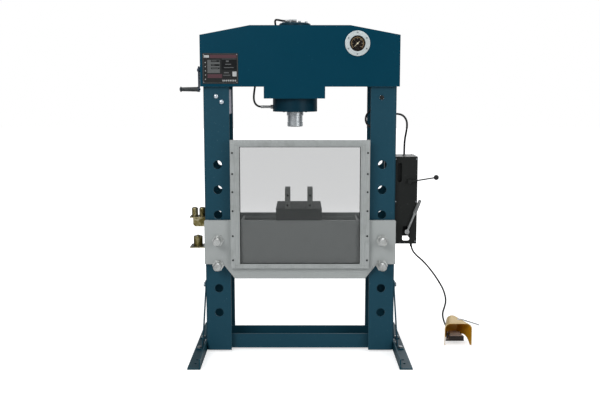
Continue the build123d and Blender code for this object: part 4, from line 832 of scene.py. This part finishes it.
top_hose = cord_curve("visual_top_hose", top_hose_route, hose_radius, rubber)
top_sleeves = [
    ferrule("top_hose_start_sleeve", (-0.066, 0, 1.994), (-1, 0, 0)),
    ferrule("top_hose_end_sleeve", (-0.141, upper_line_y, 1.890), (0, 0, 1)),
]
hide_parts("top_hose")

low_hose = cord_curve("visual_low_hose", low_hose_route, hose_radius, rubber)
low_sleeves = [
    ferrule("low_hose_start_sleeve", (-0.218, 0, 1.485), (-1, 0, 0), short_crimped),
    ferrule("low_hose_end_sleeve", (-0.270, upper_line_y, 1.750), (0, 0, -1)),
]
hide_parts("low_hose")

pump_hose = cord_curve("visual_pump_hose", pump_hose_route, hose_radius, rubber)
pump_sleeves = [
    ferrule("pump_hose_start_sleeve", (0.455, upper_line_y, 1.560), (0, 0, -1)),
    ferrule("pump_hose_end_sleeve", (0.635, 0, 1.172), (0, 0, 1)),
]
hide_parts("pump_hose")

relief_line = [(0.0, 0.0085), (0.004, 0.0085), (0.036, 0.0064)]
pedal_cable = cord_curve("visual_pedal_cable", cable_route, cable_radius, cable_rubber)
relief_profile = sleeve_profile(0.0052, relief_line)
reliefs = [
    rings("upper_strain_relief", [(0.684, -0.010, 0.666)], (0, 0, -1), relief_profile, black_plastic),
    rings("pedal_strain_relief", [(0.9835, 0.199, 0.026)], (0, 1, 0), relief_profile, black_plastic),
]
ribs = {"Count": 6, "Pitch": 0.0048, "Radius": 0.0082, "Shrink": 0.04, "Thickness": 0.0009}
ribs["Material"] = black_plastic
for name, place, facing in (
    ("upper_relief_ribs", (0.684, -0.010, 0.660), (0, 0, -1)),
    ("pedal_relief_ribs", (0.9835, 0.205, 0.026), (0, 1, 0)),
):
    reliefs.append(grow(name, rib_rows, [place], ribs, facing=facing))
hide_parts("pedal_cable")


# Small fasteners

def circle(count, first, radius):
    """Points at even angles round a circle, from a first angle in degrees."""
    angles = [math.radians(first + 360 / count * step) for step in range(count)]
    return [(radius * math.cos(angle), radius * math.sin(angle)) for angle in angles]


def spots(x_values, y_values, z_values):
    """Every point with one of these values on each axis."""
    return [(x, y, z) for x in x_values for y in y_values for z in z_values]


sides = ((-1, "left"), (1, "right"))
front = (0, -1, 0)
gauge_screw_points = [(gauge_x + x, -0.1725, gauge_z + z) for x, z in circle(6, 30, 0.061)]
screws("gauge_screws", gauge_screw_points, front, 0.0045, 0.002, bolt_steel)
rail_screw_points = spots((-0.3985, 0.3985), (-0.2005,), (1.096, 0.989, 0.876, 0.726, 0.580, 1.220))
screws("rail_screws", rail_screw_points, front, 0.0055, 0.003, plate_paint)
cover_front_points = spots((0.5755, 0.698), (-0.100,), (0.676, 0.92, 1.176))
screws("cover_front_screws", cover_front_points, front, 0.004, 0.0022, bolt_steel)
cover_side_points = spots((0.706,), (-0.06, 0.06), (0.70, 1.15))
screws("cover_side_screws", cover_side_points, (1, 0, 0), 0.004, 0.0022, bolt_steel)
cover_top_points = spots((0.590, 0.690), (-0.085, 0.085), (1.190,))
screws("cover_top_screws", cover_top_points, (0, 0, 1), 0.004, 0.0022, bolt_steel)
junction_screw_points = spots((0.6745, 0.6945), (-0.045,), (0.70, 0.78))
screws("junction_screws", junction_screw_points, front, 0.003, 0.0015, bolt_steel)
upright_screw_points = spots((-0.074, 0.060), (-0.1695,), (0.906, 0.965))
screws("upright_screws", upright_screw_points, front, 0.007, 0.003, plate_paint)
cap_screw_points = [(cylinder_x + x, y, 1.981) for x, y in circle(8, 22.5, 0.072)]
screws("cap_screws", cap_screw_points, (0, 0, 1), 0.008, 0.008, bolt_steel, socket=0.55)
gland_screw_points = [(cylinder_x + x, y, 1.457) for x, y in circle(8, 22.5, 0.072)]
screws("gland_screws", gland_screw_points, (0, 0, -1), 0.006, 0.004, bolt_steel, socket=0.55)

dome_profile = [
    (0.0, 0.0), (0.0, 0.0128), (0.0016, 0.0122),
    (0.0034, 0.0098), (0.0046, 0.0062), (0.0051, 0.0),
]
dome_points = [(-0.493, -0.1474, 1.549), (-0.461, -0.1474, 1.516)]


def domes(name, places, along, material, scale=1.0):
    """Low domed caps, turned about an axis."""
    points = []
    faces = []
    segments = 28
    axis, spokes = spokes_round(along, segments)
    middle = dome_profile[1:-1]
    for place in places:
        first = len(points)
        start = Vector(place)
        points.append(start + axis * dome_profile[0][0] * scale)
        for distance, radius in middle:
            points += [start + axis * distance * scale + spoke * radius * scale for spoke in spokes]
        points.append(start + axis * dome_profile[-1][0] * scale)
        last = len(points) - 1
        for step in range(segments):
            after = (step + 1) % segments
            faces.append((first, first + 1 + after, first + 1 + step))
            for ring in range(len(middle) - 1):
                low = first + 1 + ring * segments
                high = low + segments
                faces.append((low + step, low + after, high + after, high + step))
            top = first + 1 + (len(middle) - 1) * segments
            faces.append((top + step, top + after, last))
    return mesh_piece(name, points, faces, material, smooth=True)


domes("column_bolt_domes", dome_points, front, bright_bolt)
domes("right_bolt_dome", [(0.480, -0.1474, 1.542)], front, plate_paint)

washer = [(0.0, 0.0145), (0.0018, 0.0145), (0.0018, 0.009), (0.0, 0.009)]
for side, label in sides:
    foot_places = [(side * 0.578, y, 0.038) for y in (-0.108, -0.055, 0.055, 0.108)]
    rings(label + "_foot_washers", foot_places, (side, 0, 0), washer, bolt_steel)
    brace_places = [(side * 0.576, y, 0.413) for y in (-0.110, 0.110)]
    rings(label + "_brace_washers", brace_places, (side, 0, 0), washer, bolt_steel)
    toe_places = [(side * 0.619, y, 0.014) for y in (-0.110, 0.110)]
    rings(label + "_toe_washers", toe_places, (0, 0, 1), washer, bolt_steel)


# Welds

for side, label in sides:
    inner_x = side * 0.417
    outer_x = side * 0.552
    head_lines = [((inner_x, y, 1.606), (outer_x, y, 1.606)) for y in (-0.1415, 0.1415)]
    head_lines += [((side * 0.5705, y, 1.62), (side * 0.5705, y, 1.87)) for y in (-0.1405, 0.1405)]
    weld(label + "_head_weld", head_lines, 0.0035, 3)
    foot_lines = [
        ((side * 0.571, y, 0.0605), (side * 0.571, y + 0.06, 0.0605)) for y in (-0.122, -0.03, 0.062)
    ]
    foot_lines += [
        ((side * 0.579, y, 0.009), (side * 0.601, y, 0.009)) for y in (-0.1405, -0.1325, 0.1325, 0.1405)
    ]
    weld(label + "_foot_weld", foot_lines, 0.003, 5)
    beam_lines = [((side * 0.5455, -0.083, 0.021), (side * 0.5455, 0.083, 0.021))]
    beam_lines += [((side * 0.5455, y, 0.021), (side * 0.5455, y, 0.094)) for y in (-0.083, 0.083)]
    weld(label + "_beam_weld", beam_lines, 0.003, 7)
    web_x = side * 0.345
    table_lines = [((web_x, y, 0.476), (web_x, y, 0.776)) for y in (-0.1455, 0.1455)]
    weld(label + "_table_weld", table_lines, 0.003, 9, table_paint)
    rail_lines = [
        ((side * 0.411, -0.1707, z), (side * 0.411, -0.1707, z + 0.03)) for z in (0.56, 0.66, 0.76)
    ]
    weld(label + "_rail_weld", rail_lines, 0.002, 11, guard_aluminium)
cradle_lines = [((x, -0.140, 1.6405), (x, 0.140, 1.6405)) for x in (-0.2505, 0.1905)]
cradle_lines += [((x, y, 1.6805), (x, y, 1.93)) for x in (-0.2295, 0.1695) for y in (-0.1395, 0.1395)]
weld("cradle_weld", cradle_lines, 0.0035, 13)
bracket_lines = [((-0.5765, y, 0.8115), (-0.5765, y + 0.03, 0.8115)) for y in (-0.046, 0.016)]
bracket_lines += [((-0.5765, y, 0.634), (-0.5765, y + 0.03, 0.634)) for y in (-0.056, 0.026)]
weld("bracket_weld", bracket_lines, 0.0025, 15, zinc)


# Gauge: scale, marks, figures

def arc_band(name, inner, outer, first, last, y_range, material, steps=64):
    """A flat band along part of a circle round the gauge's centre."""
    points = []
    for step in range(steps + 1):
        angle = math.radians(first + (last - first) * step / steps)
        for y in y_range:
            for radius in (inner, outer):
                points.append((gauge_x + radius * math.cos(angle), y, gauge_z + radius * math.sin(angle)))
    faces = []
    for step in range(steps):
        here = 4 * step
        there = here + 4
        faces += [
            (here, there, there + 1, here + 1),
            (here + 2, here + 3, there + 3, there + 2),
            (here, here + 2, there + 2, there),
            (here + 1, there + 1, there + 3, here + 3),
        ]
    faces.append((0, 1, 3, 2))
    end = 4 * steps
    faces.append((end, end + 2, end + 3, end + 1))
    return mesh_piece(name, points, faces, material)


band_y = (dial_y - 0.0003, dial_y + 0.0002)
arc_band("gauge_scale_band", 0.0335, 0.0355, -45, 225, band_y, print_tan)
arc_band("gauge_red_band", 0.0360, 0.0372, -45, -12, band_y, print_red, 16)
for name, count, step, radius, mark in (
    ("gauge_long_marks", 7, 45, 0.0385, (0.006, 0.0004, 0.0011)),
    ("gauge_short_marks", 31, 9, 0.0372, (0.003, 0.0004, 0.0005)),
):
    values = {"Count": count, "First Angle": math.radians(-45), "Step": math.radians(step), "Radius": radius}
    values.update({"Mark": mark, "Material": print_tan})
    grow(name, dial_marks, [(gauge_x, dial_y - 0.0001, gauge_z)], values)


def figures(name, texts, size, material):
    """Plain figures that stand on the dial, as one mesh, given as (text, x, z)."""
    points = []
    faces = []
    for text, x, z in texts:
        data = bpy.data.curves.new("figure", "FONT")
        data.body = text
        data.size = size
        data.extrude = 0.0002
        data.resolution_u = 2
        data.align_x = "CENTER"
        data.align_y = "CENTER"
        thing = bpy.data.objects.new("figure", data)
        scene.collection.objects.link(thing)
        bpy.context.view_layer.update()
        mesh = bpy.data.meshes.new_from_object(thing.evaluated_get(bpy.context.evaluated_depsgraph_get()))
        first = len(points)
        stand = Matrix.Translation((x, dial_y - 0.0002, z)) @ Matrix.Rotation(math.radians(90), 4, "X")
        points += [stand @ corner.co for corner in mesh.vertices]
        faces += [tuple(first + corner for corner in face.vertices) for face in mesh.polygons]
        bpy.data.objects.remove(thing)
        bpy.data.meshes.remove(mesh)
    return mesh_piece(name, points, faces, material)


figure_spots = reversed(circle(8, -45, 0.0275)[:7])
figure_places = [(str(10 * step), gauge_x + x, gauge_z + z) for step, (x, z) in enumerate(figure_spots)]
figures("gauge_figures", figure_places, 0.0068, print_cream)


# Data plate

plate_left = -0.568
plate_right = -0.360
plate_top = 1.798
plate_bottom = 1.622
plate_front_y = head_face_y - 0.0015
border = 0.0035
border_width = 0.002
rivet_inset = 0.0075
plate_x = (plate_left, plate_right)
blocks("data_plate", [(plate_x, (plate_front_y, head_face_y), (plate_bottom, plate_top))], plate_paint)


def frame_ranges(x_outer, z_outer, x_inner, z_inner, y_range):
    """The four blocks of a flat rectangular frame, top and bottom over the full width."""
    return [
        (x_outer, y_range, (z_outer[0], z_inner[0])),
        (x_outer, y_range, (z_inner[1], z_outer[1])),
        ((x_outer[0], x_inner[0]), y_range, z_inner),
        ((x_inner[1], x_outer[1]), y_range, z_inner),
    ]


border_outer = ((plate_left + border, plate_right - border), (plate_bottom + border, plate_top - border))
border_inner = [(low + border_width, high - border_width) for low, high in border_outer]
border_y = (plate_front_y - 0.0004, plate_front_y)
blocks("data_plate_border", frame_ranges(*border_outer, *border_inner, border_y), print_grey)


def plate_fields(name, fields, material, rise=0.0004):
    """Raised fields, each given as shares of the width and of the height from the top."""
    width = plate_right - plate_left
    height = plate_top - plate_bottom
    ranges = []
    for left, right, top, bottom in fields:
        x_range = (plate_left + left * width, plate_left + right * width)
        z_range = (plate_top - bottom * height, plate_top - top * height)
        ranges.append((x_range, (plate_front_y - rise, plate_front_y), z_range))
    return blocks(name, ranges, material)


plate_fields("plate_header", [(0.21, 0.96, 0.05, 0.165), (0.14, 0.55, 0.685, 0.815)], print_red)
plate_fields("plate_white_fields", [(0.04, 0.19, 0.065, 0.15), (0.84, 0.955, 0.60, 0.76)], print_white)
plate_fields("plate_grey_fields", [(0.14, 0.49, 0.22, 0.65)], print_grey)
dark_fields = [
    (0.24, 0.48, 0.23, 0.29), (0.24, 0.48, 0.36, 0.42), (0.24, 0.48, 0.47, 0.52),
    (0.54, 0.955, 0.20, 0.54),
]
plate_fields("plate_dark_fields", dark_fields, print_black, 0.0008)
marks = [(0.56 + 0.05 * step, 0.59 + 0.05 * step, 0.87, 0.925) for step in range(8)]
plate_fields("plate_small_marks", marks, print_white)
faint_marks = [
    (0.66, 0.74, 0.24, 0.29), (0.64, 0.80, 0.35, 0.38), (0.60, 0.88, 0.46, 0.485),
    (0.60, 0.74, 0.62, 0.66),
]
faint_marks += [
    (0.26, 0.40, 0.245, 0.265), (0.26, 0.34, 0.38, 0.40), (0.26, 0.44, 0.485, 0.505),
    (0.58, 0.78, 0.71, 0.735),
]
plate_fields("plate_faint_marks", faint_marks, print_grey, 0.0011)
plate_fields("plate_light_line", [(0.54, 0.955, 0.185, 0.20)], print_grey, 0.0009)
dots = [(0.07, 0.095, 0.29 + 0.137 * step, 0.32 + 0.137 * step) for step in range(5)]
plate_fields("plate_dots", dots, print_white)
rivet_x = (plate_left + rivet_inset, plate_right - rivet_inset)
rivet_z = (plate_bottom + rivet_inset, plate_top - rivet_inset)
domes("plate_rivets", spots(rivet_x, (plate_front_y,), rivet_z), front, bolt_steel, 0.22)


# Guard: gasket round the pane and joint lines at the corners of the frame

for name, y_range in (("pane_gasket_front", (-0.1905, -0.1880)), ("pane_gasket_rear", (-0.1830, -0.1805))):
    outer = ((-0.357, 0.357), (0.556, 1.256))
    inner = ((-0.3535, 0.3535), (0.5595, 1.2525))
    blocks(name, frame_ranges(*outer, *inner, y_range), rubber, "guard")
joint_ranges = []
for side in (-1, 1):
    joint_ranges.append(((side * 0.3665, side * 0.3845), (-0.1983, -0.1979), (1.2652, 1.2658)))
    joint_ranges.append(((side * 0.3665, side * 0.3845), (-0.1983, -0.1979), (0.5462, 0.5468)))
blocks("sash_joint_lines", joint_ranges, print_black, "guard")

# Cylinder: wiper seal round the ram

rings(
    "ram_wiper",
    [(cylinder_x, 0, 1.4572)],
    (0, 0, 1),
    [(0.0, 0.0556), (0.0044, 0.0556), (0.0044, 0.0502), (-0.0012, 0.0502), (-0.0022, 0.0518)],
    rubber,
    segments=64,
)

# Ribs on the hand lever's grip

lever_pivot = Vector((0.645, -0.114, 0.738))
lever_top = Vector((0.722, -0.114, 0.931))
lever_direction = (lever_top - lever_pivot).normalized()
grip_ribs = {"Count": 9, "Pitch": 0.0075, "Radius": 0.0108, "Shrink": 0.019, "Thickness": 0.0009}
grip_ribs["Material"] = black_plastic
grow(
    "pump_grip_ribs",
    rib_rows,
    [lever_top - lever_direction * 0.078],
    grip_ribs,
    "hand_lever",
    lever_direction,
)


# Floor

floor_size = 30
floor_mesh = bpy.data.meshes.new("floor")
floor_corners = [(x * floor_size, y * floor_size, 0) for x, y in ((-1, -1), (1, -1), (1, 1), (-1, 1))]
floor_mesh.from_pydata(floor_corners, [], [(0, 1, 2, 3)])
floor = bpy.data.objects.new("floor", floor_mesh)
floor.location.z = -0.0005
scene.collection.objects.link(floor)
floor_material = bpy.data.materials.new("floor")
floor_material.use_nodes = True
floor_tree = floor_material.node_tree
floor_shader = floor_tree.nodes["Principled BSDF"]
floor_looks = {"Base Color": (0.8, 0.8, 0.8, 1), "Roughness": 0.9, "Specular IOR Level": 0.0}
fill(floor_tree, floor_shader, {**floor_looks, "Emission Color": (1, 1, 1, 1)})
floor_path = add(floor_tree, "ShaderNodeLightPath").outputs
floor_place = add(floor_tree, "ShaderNodeTexCoord").outputs["Object"]
floor_distance = vectors(floor_tree, "LENGTH", floor_place).outputs["Value"]
floor_white = ramp(floor_tree, floor_distance, (1.3, 3.2), (0.58, 1.0))
floor_glow = maths(floor_tree, "MULTIPLY", floor_white, floor_path["Is Camera Ray"])
fill(floor_tree, floor_shader, {"Emission Strength": floor_glow})
floor_mesh.materials.append(floor_material)
